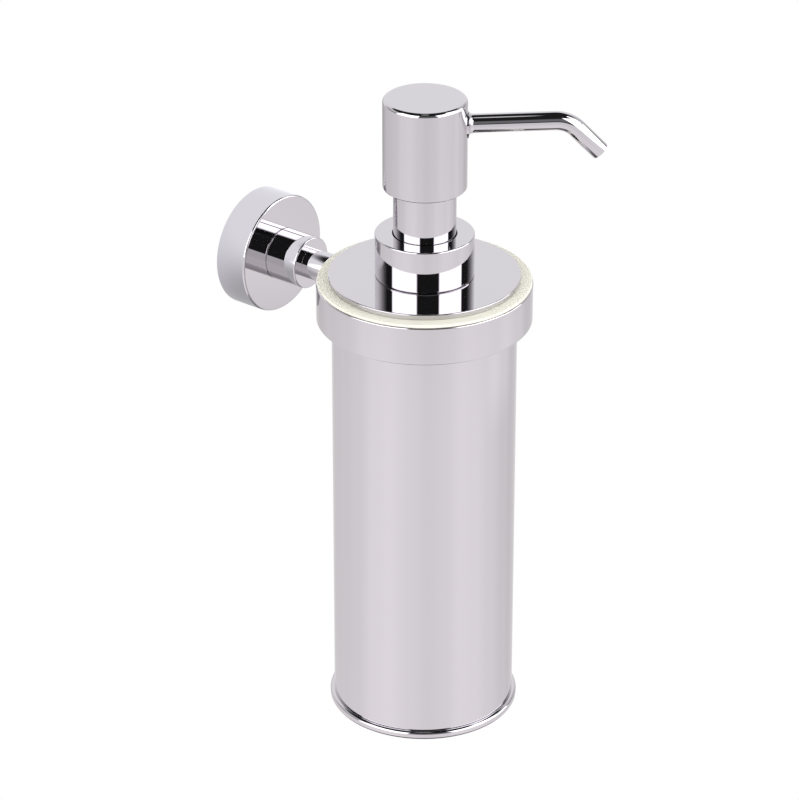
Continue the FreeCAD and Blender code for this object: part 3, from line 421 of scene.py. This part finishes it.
bpy.ops.object.modifier_apply(modifier="wall")
mouth = spout.modifiers.new("mouth", "BEVEL")
mouth.width = 0.18 * MM
mouth.segments = 3
mouth.limit_method = "ANGLE"
mouth.angle_limit = math.radians(60)
bpy.ops.object.modifier_apply(modifier="mouth")
finish_piece(spout, "head", "chrome_brass", "spout_tube")

# %% [markdown]
# Where tube and head meet, solder leaves a small concave ring. It could come from
# a boolean and a bevel; a quarter circle turned round the spout is cleaner.

# %% Concave root of the spout
ROOT_RADIUS = 1.8 * MM
ROOT_STEPS = 10
root_low = head_radius - ROOT_RADIUS
root_inner = SPOUT_RADIUS + 0.03 * MM
root_outline = [(root_low, root_inner), (root_low, root_inner + ROOT_RADIUS)]
for step in range(ROOT_STEPS + 1):
    angle = math.pi / 2 * step / ROOT_STEPS
    root_outline.append((head_radius + ROOT_RADIUS * (1 - math.cos(angle)),
                         root_inner + ROOT_RADIUS * (1 - math.sin(angle)) + 0.02 * MM))
root_outline.append((head_radius + ROOT_RADIUS, root_inner))
root_points = [on_spout(distance, rise) for distance, rise in root_outline]
bpy.ops.object.select_all(action="DESELECT")
bpy.ops.mesh.primitive_plane_add(size=MM, location=root_points[0])
root = start_piece("spout_root_chrome")
bpy.ops.mesh.select_all(action="SELECT")
bpy.ops.mesh.merge(type="CENTER")
bpy.ops.mesh.select_all(action="SELECT")
for here, there in zip(root_points, root_points[1:] + root_points[:1]):
    bpy.ops.mesh.extrude_region_move(TRANSFORM_OT_translate={"value": there - here})
bpy.ops.mesh.select_all(action="SELECT")
bpy.ops.mesh.remove_doubles(threshold=0.001 * MM)
bpy.ops.mesh.select_all(action="SELECT")
bpy.ops.mesh.spin(steps=SPOUT_SIDES, angle=2 * math.pi, center=on_spout(0), axis=outward)
finish_piece(root, "head", "chrome_brass", "spout_ferrule")

# %% [markdown]
# ## Wall side
# The cover is a short cup over the bracket. The arm is two plain cylinders, a
# thick one and a thin one. The thin one ends on the ring's round side, so its
# end is cut with a cylinder of the ring's size.

# %% [markdown]
# A pressed cup hides the bracket and the wall screws. Its rear edge touches the
# wall, its front edge is softly rounded, and a hole in its face takes the screw.

# %% Wall cover
cover = turned("wall_cover_chrome", [
    (cover_radius - WALL["cover"], cover_rear, 0.2 * MM), (cover_radius, cover_rear, 0.3 * MM),
    (cover_radius, cover_front, 0.7 * MM), (COVER_HOLE, cover_front, 0),
    (COVER_HOLE, cover_front - WALL["cover_face"], 0),
    (cover_radius - WALL["cover"], cover_front - WALL["cover_face"], 0.4 * MM)], axis="Y")
finish_piece(cover, "wall_arm", "chrome_brass", "wall_flange")

# %% [markdown]
# The thick part is bar stock. Its end at the cover is rounded a little, so that
# a fine dark line shows where the two pieces meet. Its front end has a round of
# half a millimetre and a shallow socket for the thin part.

# %% Thick part of the arm
stub = turned("arm_stub_chrome", [
    (0, stub_near, 0), (stub_radius, stub_near, 0.4 * MM), (stub_radius, stub_far, 0.45 * MM),
    (neck_radius - SOCKET_STEP, stub_far, 0),
    (neck_radius - SOCKET_STEP, stub_far - SOCKET_DEPTH, 0),
    (0, stub_far - SOCKET_DEPTH, 0)], axis="Y", steps=128)
finish_piece(stub, "wall_arm", "chrome_brass", "arm_stub")

# %% [markdown]
# The thin part carries the ring, and it meets the ring's round side. A milling
# cutter makes that saddle on the real piece, and a boolean with a cylinder of
# the ring's size makes it here. Bending the end by hand would never fit.

# %% Thin part of the arm
neck_start = stub_far - 1.5 * MM
neck_end = neck_far + 1.0 * MM
neck = turned("arm_neck_chrome", [
    (0, neck_start, 0), (neck_radius - 0.6 * MM, neck_start, 0),
    (neck_radius - 0.6 * MM, stub_far, 0), (neck_radius, stub_far, 0.05 * MM),
    (neck_radius, neck_end, 0), (0, neck_end, 0)], axis="Y", steps=128)
bpy.ops.mesh.select_all(action="SELECT")
bpy.ops.mesh.remove_doubles(threshold=0.001 * MM)
bpy.ops.mesh.normals_make_consistent(inside=False)
bpy.ops.object.mode_set(mode="OBJECT")
bpy.ops.object.select_all(action="DESELECT")
bpy.ops.mesh.primitive_cylinder_add(vertices=256, radius=band_radius, depth=4 * neck_radius,
                                    location=AXIS)
cutter = bpy.context.object
bpy.ops.object.select_all(action="DESELECT")
neck.select_set(True)
bpy.context.view_layer.objects.active = neck
saddle = neck.modifiers.new("saddle", "BOOLEAN")
saddle.object = cutter
saddle.operation = "DIFFERENCE"
bpy.ops.object.modifier_apply(modifier="saddle")
bpy.data.objects.remove(cutter)
finish_piece(neck, "wall_arm", "chrome_brass", "arm_neck")

# %% [markdown]
# ## Return spring
# The spring is hidden in the pump, but a cut or an exploded view shows it. It
# is a real helix: a small circle, screwed up round the pump's axis.
# A curve with a round bevel could make it too; the screw modifier is exact.
# Pressing the head squeezes the coil.

# %% Return spring
WIRE_RADIUS = 0.45 * MM
SPRING_TURNS = 7.5
spring_outer, spring_low, spring_high = cylinder_of("return_spring")
coil_radius = spring_outer - WIRE_RADIUS
coil_start = AXIS + Vector((coil_radius, 0, spring_low + WIRE_RADIUS))
bpy.ops.object.select_all(action="DESELECT")
bpy.ops.mesh.primitive_circle_add(vertices=12, radius=WIRE_RADIUS, fill_type="NGON",
                                  location=coil_start, rotation=(math.pi / 2, 0, 0))
spring = start_piece("return_spring_steel")
bpy.ops.object.mode_set(mode="OBJECT")
bpy.ops.object.transform_apply(location=True, rotation=True, scale=True)
bpy.context.scene.cursor.location = AXIS
bpy.ops.object.origin_set(type="ORIGIN_CURSOR")
helix = spring.modifiers.new("helix", "SCREW")
helix.angle = 2 * math.pi * SPRING_TURNS
helix.screw_offset = spring_high - spring_low - 2 * WIRE_RADIUS
helix.steps = 240
helix.render_steps = 240
bpy.ops.object.modifier_apply(modifier="helix")
bpy.context.scene.cursor.location = (0, 0, 0)
finish_piece(spring, "pump", "stainless", "return_spring")
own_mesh(spring)

# %% [markdown]
# ## Materials
# Each one starts from what the real thing is made of and how its surface was
# finished. Colours are written as sRGB hex values and turned to linear once.

# %% [markdown]
# **Helpers.** Blender works with linear colour, while a picture shows sRGB, so one
# function converts. Another adds a node with its values and links in one line.
# Noise sizes are given as a feature's size in metres and turned into a scale.

# %% Colour and node helpers


def colour(code):
    """Linear colour from an sRGB hex value such as #D0CCD2."""
    parts = [int(code[start:start + 2], 16) / 255 for start in (1, 3, 5)]
    linear = [p / 12.92 if p <= 0.04045 else ((p + 0.055) / 1.055) ** 2.4 for p in parts]
    return (*linear, 1.0)


def add(tree, kind, settings=None, **links):
    """Add a node, set its inputs and properties, and link its inputs."""
    node = tree.nodes.new(kind)
    for key, value in (settings or {}).items():
        if key in node.inputs:
            node.inputs[key].default_value = value
        else:
            setattr(node, key, value)
    for key, socket in links.items():
        tree.links.new(socket, node.inputs[key.replace("_", " ")])
    return node


def new_material(name, base, metallic, roughness):
    """A material with its main shader, ready for the finish's own nodes."""
    material = bpy.data.materials.new(name)
    material.use_nodes = True
    tree = material.node_tree
    shader = tree.nodes["Principled BSDF"]
    shader.inputs["Base Color"].default_value = colour(base)
    shader.inputs["Metallic"].default_value = metallic
    shader.inputs["Roughness"].default_value = roughness
    place = tree.nodes.new("ShaderNodeTexCoord").outputs["Object"]
    return material, tree, shader, place


def per_size(size):
    """Noise scale that gives features of a size, in metres."""
    return 1.0 / size


# %% [markdown]
# Most of the object is chrome plate. One glossy shader with a fixed roughness
# would look like a computer's chrome. Real plate shows faint haze and hairlines
# from the buffing wheel, so two noises move the roughness by a hundredth or two.

# %% Polished chrome
def polished_chrome():
    """Chromium plate on polished brass: a near mirror, slightly lilac grey.

    Buffing leaves faint cloudy patches, 6 mm wide, and hairlines that only
    change the gloss a little, so only the roughness varies.
    """
    material, tree, shader, place = new_material("polished_chrome", "#CBC8CC", 1.0, 0.02)
    haze = add(tree, "ShaderNodeTexNoise", {"Scale": per_size(6 * MM), "Detail": 3.0},
               Vector=place)
    hairs = add(tree, "ShaderNodeTexNoise", {"Scale": per_size(0.4 * MM), "Detail": 2.0},
                Vector=place)
    both = add(tree, "ShaderNodeMath", {"operation": "MULTIPLY"})
    tree.links.new(haze.outputs["Fac"], both.inputs[0])
    tree.links.new(hairs.outputs["Fac"], both.inputs[1])
    gloss = add(tree, "ShaderNodeMapRange", {"From Min": 0.1, "From Max": 0.45,
                                             "To Min": 0.01, "To Max": 0.035},
                Value=both.outputs["Value"])
    tree.links.new(gloss.outputs["Result"], shader.inputs["Roughness"])
    return material


# %% [markdown]
# Acetal is waxy and never quite one colour. A soft noise mixes two close tints,
# and a very fine bump gives the satin of a mould. It takes no coat and no metal.

# %% Ivory plastic of the bushing
def ivory_acetal():
    """Moulded acetal in ivory: waxy, satin, with the faint mottle of a mould."""
    material, tree, shader, place = new_material("moulded_ivory_acetal", "#F6F4E6", 0.0, 0.45)
    mottle = add(tree, "ShaderNodeTexNoise", {"Scale": per_size(4 * MM), "Detail": 3.0},
                 Vector=place)
    tint = add(tree, "ShaderNodeValToRGB", Fac=mottle.outputs["Fac"])
    tint.color_ramp.elements[0].color = colour("#F1EFDD")
    tint.color_ramp.elements[1].color = colour("#F6F4E6")
    tree.links.new(tint.outputs["Color"], shader.inputs["Base Color"])
    grain = add(tree, "ShaderNodeTexNoise", {"Scale": per_size(0.3 * MM)}, Vector=place)
    bump = add(tree, "ShaderNodeBump", {"Strength": 0.02, "Distance": 0.005 * MM},
               Height=grain.outputs["Fac"])
    tree.links.new(bump.outputs["Normal"], shader.inputs["Normal"])
    return material


# %% [markdown]
# The pump's inside is polypropylene, polyethylene and rubber. They differ in tint,
# in gloss and in how much light they pass, so one function with numbers makes
# all of them.

# %% Other plastics and rubber
def moulded_plastic(name, base, dark, roughness, see_through=0.0):
    """A moulded plastic with a faint mottle and a fine spark-eroded grain."""
    material, tree, shader, place = new_material(name, base, 0.0, roughness)
    shader.inputs["Transmission Weight"].default_value = see_through
    mottle = add(tree, "ShaderNodeTexNoise", {"Scale": per_size(3 * MM), "Detail": 3.0},
                 Vector=place)
    tint = add(tree, "ShaderNodeValToRGB", Fac=mottle.outputs["Fac"])
    tint.color_ramp.elements[0].color = colour(dark)
    tint.color_ramp.elements[1].color = colour(base)
    tree.links.new(tint.outputs["Color"], shader.inputs["Base Color"])
    grain = add(tree, "ShaderNodeTexNoise", {"Scale": per_size(0.25 * MM)}, Vector=place)
    bump = add(tree, "ShaderNodeBump", {"Strength": 0.2, "Distance": 0.03 * MM},
               Height=grain.outputs["Fac"])
    tree.links.new(bump.outputs["Normal"], shader.inputs["Normal"])
    return material


# %% [markdown]
# Screws, bracket and spring are bare or zinc plated steel, with tool marks. The
# marks are a noise stretched along the cut, driving colour, gloss and bump.

# %% Steels
def worked_steel(name, base, dark, roughness, stretch):
    """Bare steel with fine tool marks, stretched along the way it was cut."""
    material, tree, shader, place = new_material(name, base, 1.0, roughness)
    marks = add(tree, "ShaderNodeMapping", {"Scale": stretch}, Vector=place)
    lines = add(tree, "ShaderNodeTexNoise", {"Scale": per_size(0.5 * MM), "Detail": 4.0},
                Vector=marks.outputs["Vector"])
    tint = add(tree, "ShaderNodeValToRGB", Fac=lines.outputs["Fac"])
    tint.color_ramp.elements[0].color = colour(dark)
    tint.color_ramp.elements[1].color = colour(base)
    tree.links.new(tint.outputs["Color"], shader.inputs["Base Color"])
    gloss = add(tree, "ShaderNodeMapRange", {"To Min": roughness * 0.7,
                                             "To Max": roughness * 1.3},
                Value=lines.outputs["Fac"])
    tree.links.new(gloss.outputs["Result"], shader.inputs["Roughness"])
    bump = add(tree, "ShaderNodeBump", {"Strength": 0.15, "Distance": 0.02 * MM},
               Height=lines.outputs["Fac"])
    tree.links.new(bump.outputs["Normal"], shader.inputs["Normal"])
    return material


# %% [markdown]
# Here each function runs once with its own values. Slots name the finish of each
# node, so one table ties a slot to its material.

# %% Make the materials
chrome = polished_chrome()
ivory = ivory_acetal()
white_polypropylene = moulded_plastic("moulded_white_polypropylene", "#EDEDE8", "#E2E2DC", 0.4)
clear_polyethylene = moulded_plastic("extruded_clear_polyethylene", "#E4E8E8", "#D6DCDD", 0.3, 0.6)
black_rubber = moulded_plastic("moulded_black_rubber", "#1C1C1D", "#141415", 0.7)
bracket_steel = worked_steel("machined_zinc_steel", "#A9A8A6", "#8C8B89", 0.35, (1, 6, 1))
screw_steel = worked_steel("zinc_plated_screw_steel", "#7E7D7B", "#5F5E5C", 0.3, (1, 1, 5))
stainless = worked_steel("drawn_stainless_steel", "#C4C3C1", "#A8A7A5", 0.2, (1, 1, 1))
FINISHES = {"chrome_brass": chrome, "zinc_bracket": bracket_steel, "stainless": stainless,
            "screw_steel": screw_steel, "ivory_plastic": ivory,
            "white_plastic": white_polypropylene, "clear_plastic": clear_polyethylene,
            "seal_rubber": black_rubber}

# %% [markdown]
# Nodes without a new piece, such as balls and screws, are carried over from the
# frame. They need a finish as well, because a cut or a lifted pump shows them.

# %% Give every piece and every carried node its finish
for subpart in frame["record"]["subparts"]:
    node_mesh = nodes[subpart["node"]].data
    finish = FINISHES[subpart["material_slot"]]
    for index in range(len(node_mesh.materials)):
        node_mesh.materials[index] = finish
    if not node_mesh.materials:
        node_mesh.materials.append(finish)
for piece in (tube, base, plate, band, collar, head, skirt, spout, root, cover, stub, neck):
    piece.data.materials.append(chrome)
liner.data.materials.append(ivory)
spring.data.materials.append(stainless)
print("materials:", len(FINISHES))

# %% [markdown]
# ## Studio
# A mirror shows the room and nothing else, so the room makes the chrome. The
# floor is large and, to the camera, plain and pale, as is the background. What
# the metal sees is not plain: a floor whose brightness changes with direction, a
# pale backdrop behind the object, bright windows towards the camera and darker
# walls between them. A model exported from this scene would lose all of this and
# keep the chrome.

# %% [markdown]
# The floor is a big pale disc, some way below the object, so no cast shadow lies
# on it; mirrors see a painted shadow under the object, set in the floor's light below. It reaches
# far out, because a low view mirrors the floor near the horizon.

# %% Floor
FLOOR_GAP = 0.10
FLOOR_RADIUS = 6.0
floor_height = base_low - FLOOR_GAP
bpy.ops.object.select_all(action="DESELECT")
bpy.ops.mesh.primitive_circle_add(vertices=96, radius=FLOOR_RADIUS, fill_type="NGON",
                                  location=(AXIS.x, AXIS.y, floor_height))
floor = bpy.context.object
floor.name = "studio_floor"
print("floor at z =", round(floor_height, 4), "m, radius", FLOOR_RADIUS, "m")

# %% [markdown]
# The object hangs on a wall, but only the object is shown. The cover's side would
# still mirror that wall, so a small card takes its place, seen in mirrors only.

# %% Card that stands for the wall
# The card is painted light; CARD_SHADE places its painted shade under the cover.
CARD_SIZE = 0.11
CARD_EDGE = (0.040, 0.054)
CARD_SHADE = (-0.025, 0.02)
CARD_REACH = (0.060, 0.068)
bpy.ops.object.select_all(action="DESELECT")
bpy.ops.mesh.primitive_plane_add(size=CARD_SIZE, location=(0, 0.5 * MM, 0),
                                 rotation=(math.pi / 2, 0, 0))
wall_card = bpy.context.object
wall_card.name = "wall_card"
wall_card.visible_camera = False
print("wall card", round(wall_card.dimensions.x, 3), "m wide")

# %% [markdown]
# A long lens from a little over a metre, looking down. A short lens close by would
# spread the tube's sides and make the ring look like an egg. The aim comes from
# a pitch and a small yaw, so the sensor needs no shift.

# %% Camera
CAMERA_DISTANCE = 1.1795
CAMERA_AZIMUTH = math.radians(52.19)
CAMERA_HEIGHT = plate_top + 0.5613
CAMERA_PITCH = math.radians(27.388)
CAMERA_YAW = math.radians(0.423)
FOCAL_LENGTH = 169.23
camera_data = bpy.data.cameras.new("camera")
camera_data.lens = FOCAL_LENGTH
camera_data.sensor_width = 36.0
camera_data.clip_start = 0.01
camera = bpy.data.objects.new("camera", camera_data)
bpy.context.scene.collection.objects.link(camera)
camera.location = AXIS + Vector((-math.sin(CAMERA_AZIMUTH) * CAMERA_DISTANCE,
                                 -math.cos(CAMERA_AZIMUTH) * CAMERA_DISTANCE, CAMERA_HEIGHT))
camera.rotation_euler = (math.pi / 2 - CAMERA_PITCH, 0, CAMERA_YAW - CAMERA_AZIMUTH)
bpy.context.scene.camera = camera
print("camera at", [round(value, 3) for value in camera.location], "lens", FOCAL_LENGTH, "mm")

# %% [markdown]
# **Shaping light with numbers.** The room is drawn with formulas of direction, not
# with a picture. A smooth step, a window between two limits and the angle round
# the object's axis are all it takes.

# %% Node helpers for the studio


def maths(tree, kind, first, second=None, third=None):
    """One arithmetic node; each input is a number or a socket."""
    node = add(tree, "ShaderNodeMath", {"operation": kind})
    for index, value in enumerate((first, second, third)):
        if isinstance(value, (int, float)):
            node.inputs[index].default_value = value
        elif value is not None:
            tree.links.new(value, node.inputs[index])
    return node.outputs["Value"]


def ramp(tree, value, start, end):
    """Goes smoothly from 0 at start to 1 at end."""
    node = add(tree, "ShaderNodeMapRange", {"interpolation_type": "SMOOTHSTEP",
                                            "From Min": start, "From Max": end}, Value=value)
    return node.outputs["Result"]


def between(tree, value, low, high, soft):
    """1 between two limits and 0 outside, with soft edges."""
    rise = ramp(tree, value, low - soft, low + soft)
    fall = ramp(tree, value, high + soft, high - soft)
    return maths(tree, "MULTIPLY", rise, fall)


to_camera = math.atan2(-math.cos(CAMERA_AZIMUTH), -math.sin(CAMERA_AZIMUTH))


def angle_round_axis(tree, vector):
    """Degrees round Z from the camera's side, positive to its right; and the height."""
    facing = add(tree, "ShaderNodeVectorRotate", {"rotation_type": "Z_AXIS",
                                                  "Angle": -to_camera}, Vector=vector)
    axes = add(tree, "ShaderNodeSeparateXYZ", Vector=facing.outputs["Vector"])
    turn = maths(tree, "ARCTAN2", axes.outputs["Y"], axes.outputs["X"])
    return maths(tree, "MULTIPLY", turn, 180 / math.pi), axes.outputs["Z"]


# %% [markdown]
# A mirror cylinder seen from above shows the floor, stretched upwards. So what
# looks like shading on the tube is the floor's brightness in each direction.
# Lamps could light it, but soft falloff is hard to steer with lamps. Here the
# floor glows by a table of levels round the axis.

# %% Floor light
# Each pair is a direction in degrees, from the camera's side, and a level. The
# levels were tuned until the metal's shading looked right. They don't follow
# from a layout of lamps, and with other lamps they would be different.
FLOOR_LEVELS = [(-180, 1.02), (-163, 0.82), (-147, 0.79), (-132, 0.87), (-117, 0.94),
                (-88, 1.02), (-62, 1.16), (-42, 1.19), (-15, 1.10), (5, 1.04), (25, 1.08),
                (45, 1.17), (65, 1.15), (88, 1.05), (117, 0.91), (135, 0.80), (150, 0.79),
                (165, 0.85), (180, 1.02)]
FLOOR_TOP_LEVEL = 1.25
FLOOR_TINT = (1, 0.972, 0.985)
# FLOOR_FADE and BEHIND_LEFT shape painted shade: the floor's glow falls off far out, most behind
# on the left.
FLOOR_FADE = (0.45, 0.75)
BEHIND_LEFT = (-125, -165)
# FOOT_SHADE sets where the painted shadow under the object fades out, in metres from its axis.
FOOT_SHADE = (0.09, 0.13)
# RIGHT_PART, RIGHT_FROM and RIGHT_BOOST place painted light: a brighter stretch of floor to the
# right.
RIGHT_PART = (85, 130)
RIGHT_FROM = (0.42, 0.5)
RIGHT_BOOST = 0.12

def fill_ramp(node, rows, tint):
    """Give a colour ramp one stop for each (degrees, level), all the way round."""
    node.color_ramp.interpolation = "EASE"
    stops = node.color_ramp.elements
    for degrees, level in rows:
        if degrees == -180:
            stop = stops[0]
        elif degrees == 180:
            stop = stops[len(stops) - 1]
        else:
            stop = stops.new(degrees / 360 + 0.5)
        grey = level / FLOOR_TOP_LEVEL
        stop.color = (grey * tint[0], grey * tint[1], grey * tint[2], 1)


# The floor's material is painted light: it glows, an even white to the camera and, to mirrors, a
# level that changes with direction.
floor_paint = bpy.data.materials.new("floor_painted_glow")
floor_paint.use_nodes = True
paint = floor_paint.node_tree
paint.nodes.clear()
spot = add(paint, "ShaderNodeTexCoord").outputs["Object"]
turn, _ = angle_round_axis(paint, spot)
share = maths(paint, "MULTIPLY_ADD", turn, 1 / 360, 0.5)
levels = add(paint, "ShaderNodeValToRGB", Fac=share)
fill_ramp(levels, FLOOR_LEVELS, FLOOR_TINT)
distance = add(paint, "ShaderNodeVectorMath", {"operation": "LENGTH"})
paint.links.new(spot, distance.inputs[0])
# Painted shade: far out the floor glows dimmer, most behind on the left.
far_away = ramp(paint, distance.outputs["Value"], *FLOOR_FADE)
behind_left = maths(paint, "MULTIPLY_ADD", ramp(paint, turn, *BEHIND_LEFT), 0.3, 0.1)
falloff = maths(paint, "SUBTRACT", 1.0, maths(paint, "MULTIPLY", far_away, behind_left))
# Painted shadow: to mirrors the floor glows darker close under the object.
painted_shadow_under_object = maths(paint, "MULTIPLY_ADD",
                     ramp(paint, distance.outputs["Value"], *FOOT_SHADE), 0.85, 0.15)
falloff = maths(paint, "MULTIPLY", falloff, painted_shadow_under_object)
# Painted light: the floor glows brighter to the right, from about 0.42 m out.
right_side = maths(paint, "MULTIPLY", between(paint, turn, *RIGHT_PART, 15),
                   ramp(paint, distance.outputs["Value"], *RIGHT_FROM))
falloff = maths(paint, "MULTIPLY_ADD", right_side, RIGHT_BOOST, falloff)
reflected = add(paint, "ShaderNodeEmission", Color=levels.outputs["Color"],
                Strength=maths(paint, "MULTIPLY", falloff, FLOOR_TOP_LEVEL))
direct = add(paint, "ShaderNodeEmission", {"Color": (1, 1, 1, 1), "Strength": 1.0})
view_ray = add(paint, "ShaderNodeLightPath")
floor_mix = add(paint, "ShaderNodeMixShader", Fac=view_ray.outputs["Is Camera Ray"])
paint.links.new(reflected.outputs["Emission"], floor_mix.inputs[1])
paint.links.new(direct.outputs["Emission"], floor_mix.inputs[2])
add(paint, "ShaderNodeOutputMaterial", Surface=floor_mix.outputs["Shader"])
floor.data.materials.append(floor_paint)
print("floor levels:", len(FLOOR_LEVELS), "directions")

# %% [markdown]
# The card glows: it is painted light, standing for a lit wall. It is brighter at
# its top and darker below, a painted shade where the cover would shade the wall,
# and it fades at its edges, so that its outline never shows in the cover. Only
# metal close to the wall sees it, since it also fades with the length of the ray;
# a real wall would show in the ring as well.

# %% Light on the card
card_paint = bpy.data.materials.new("card_painted_glow")
card_paint.use_nodes = True
card_tree = card_paint.node_tree
card_tree.nodes.clear()
card_spot = add(card_tree, "ShaderNodeTexCoord").outputs["Object"]
card_axes = add(card_tree, "ShaderNodeSeparateXYZ", Vector=card_spot)
# Painted shade: the card glows half as bright below, where the cover would shade the wall.
card_level = maths(card_tree, "MULTIPLY_ADD",
                   ramp(card_tree, card_axes.outputs["Y"], *CARD_SHADE), 0.58, 0.58)
card_light = add(card_tree, "ShaderNodeEmission", {"Color": (0.98, 0.985, 1.02, 1)},
                 Strength=card_level)
across = maths(card_tree, "ABSOLUTE", card_axes.outputs["X"])
along = maths(card_tree, "ABSOLUTE", card_axes.outputs["Y"])
edge_fade = ramp(card_tree, maths(card_tree, "MAXIMUM", across, along), *CARD_EDGE)
card_path = add(card_tree, "ShaderNodeLightPath")
reach_fade = ramp(card_tree, card_path.outputs["Ray Length"], *CARD_REACH)
card_clear = add(card_tree, "ShaderNodeBsdfTransparent")
card_mix = add(card_tree, "ShaderNodeMixShader",
               Fac=maths(card_tree, "MAXIMUM", edge_fade, reach_fade))
card_tree.links.new(card_light.outputs["Emission"], card_mix.inputs[1])
card_tree.links.new(card_clear.outputs["BSDF"], card_mix.inputs[2])
add(card_tree, "ShaderNodeOutputMaterial", Surface=card_mix.outputs["Shader"])
wall_card.data.materials.append(card_paint)
print("card nodes:", len(card_tree.nodes))

# %% [markdown]
# Chrome is made by contrast. Two bright windows stand to the left and right of
# the viewer, with a dark gap between them and dark above. They give the white
# and black bars on the collar and the arm. Behind the object is a pale backdrop,
# which the flat top faces mirror. A surface that mirrors the room directly sees
# grey walls in the gaps, and a mirror's mirror sees them dark. No real room does
# that: it's a choice, made so that the lid doesn't turn black from other sides.

# %% Room that the metal reflects
# Azimuth and height in degrees: from, to, lowest, highest, softness, radiance.
WINDOWS = [(-80, -18, 2, 50, 2, 3.0), (34, 94, 2, 50, 2, 3.0),
           (88, 116, -4, 23.4, 0.6, 3.0), (88, 106, 27.8, 60, 0.6, 3.0)]
BACKDROP_TOP = 42
BACKDROP_LEVEL = 1.07
DARK_LEVEL = 0.02
HORIZON = 2.0
ZENITH = (83.5, 85.5)
WALL_LEVEL = 0.75
WALL_CHANGE = 0.55
world = bpy.data.worlds.new("studio")
bpy.context.scene.world = world
world.use_nodes = True
sky = world.node_tree
sky.nodes.clear()
looking = add(sky, "ShaderNodeTexCoord").outputs["Generated"]
azimuth, rise = angle_round_axis(sky, looking)
elevation = maths(sky, "MULTIPLY", maths(sky, "ARCSINE", rise), 180 / math.pi)
left_part = ramp(sky, azimuth, -95, -142)
right_part = ramp(sky, azimuth, 112, 162)
backdrop = maths(sky, "MULTIPLY", maths(sky, "MAXIMUM", left_part, right_part),
                 between(sky, elevation, -40, BACKDROP_TOP, 2))
light = maths(sky, "MULTIPLY", backdrop, BACKDROP_LEVEL)
for left, right, low, high, soft, level in WINDOWS:
    pane = maths(sky, "MULTIPLY", between(sky, azimuth, left, right, soft),
                 between(sky, elevation, low, high, soft))
    light = maths(sky, "MAXIMUM", light, maths(sky, "MULTIPLY", pane, level))
overhead = ramp(sky, elevation, *ZENITH)
light = maths(sky, "MAXIMUM", light, maths(sky, "MULTIPLY", overhead, 1.0))
ray = add(sky, "ShaderNodeLightPath")
once = maths(sky, "LESS_THAN", ray.outputs["Glossy Depth"], 1.5)
walls = maths(sky, "MULTIPLY", once, between(sky, elevation, 12, 40, 5))
front = maths(sky, "MULTIPLY_ADD", between(sky, azimuth, -26, 42, 8), -WALL_CHANGE, WALL_LEVEL)
light = maths(sky, "MAXIMUM", light, maths(sky, "MULTIPLY", walls, front))
light = maths(sky, "MAXIMUM", light, between(sky, elevation, -40, HORIZON, 1.5))
strength = maths(sky, "ADD", light, DARK_LEVEL)
seen = add(sky, "ShaderNodeBackground", {"Color": (1, 1, 1, 1), "Strength": 1.0})
felt = add(sky, "ShaderNodeBackground", {"Color": (0.985, 0.985, 1.0, 1)}, Strength=strength)
mixed = add(sky, "ShaderNodeMixShader", Fac=ray.outputs["Is Camera Ray"])
sky.links.new(felt.outputs["Background"], mixed.inputs[1])
sky.links.new(seen.outputs["Background"], mixed.inputs[2])
add(sky, "ShaderNodeOutputWorld", Surface=mixed.outputs["Shader"])
print("windows:", len(WINDOWS), "room nodes:", len(sky.nodes))

# %% [markdown]
# Plastic doesn't mirror, it needs light on it. One large round lamp lights it
# softly. It's hidden from mirrors, because the metal has its own room.

# %% Soft light from above
soft = bpy.data.lights.new("overhead_soft_light", "AREA")
soft.shape = "DISK"
soft.size = 2.0
soft.energy = 4.0
soft_light = bpy.data.objects.new("overhead_soft_light", soft)
bpy.context.scene.collection.objects.link(soft_light)
soft_light.location = (AXIS.x, AXIS.y, 1.6)
soft_light.visible_glossy = False
print("soft light:", soft.energy, "W,", soft.size, "m wide")

# %% [markdown]
# A film-like display curve would turn the white background grey. The standard
# one shows every value as it is.

# %% Plain display, so that pale stays pale
bpy.context.scene.view_settings.view_transform = "Standard"
print("display:", bpy.context.scene.view_settings.view_transform)
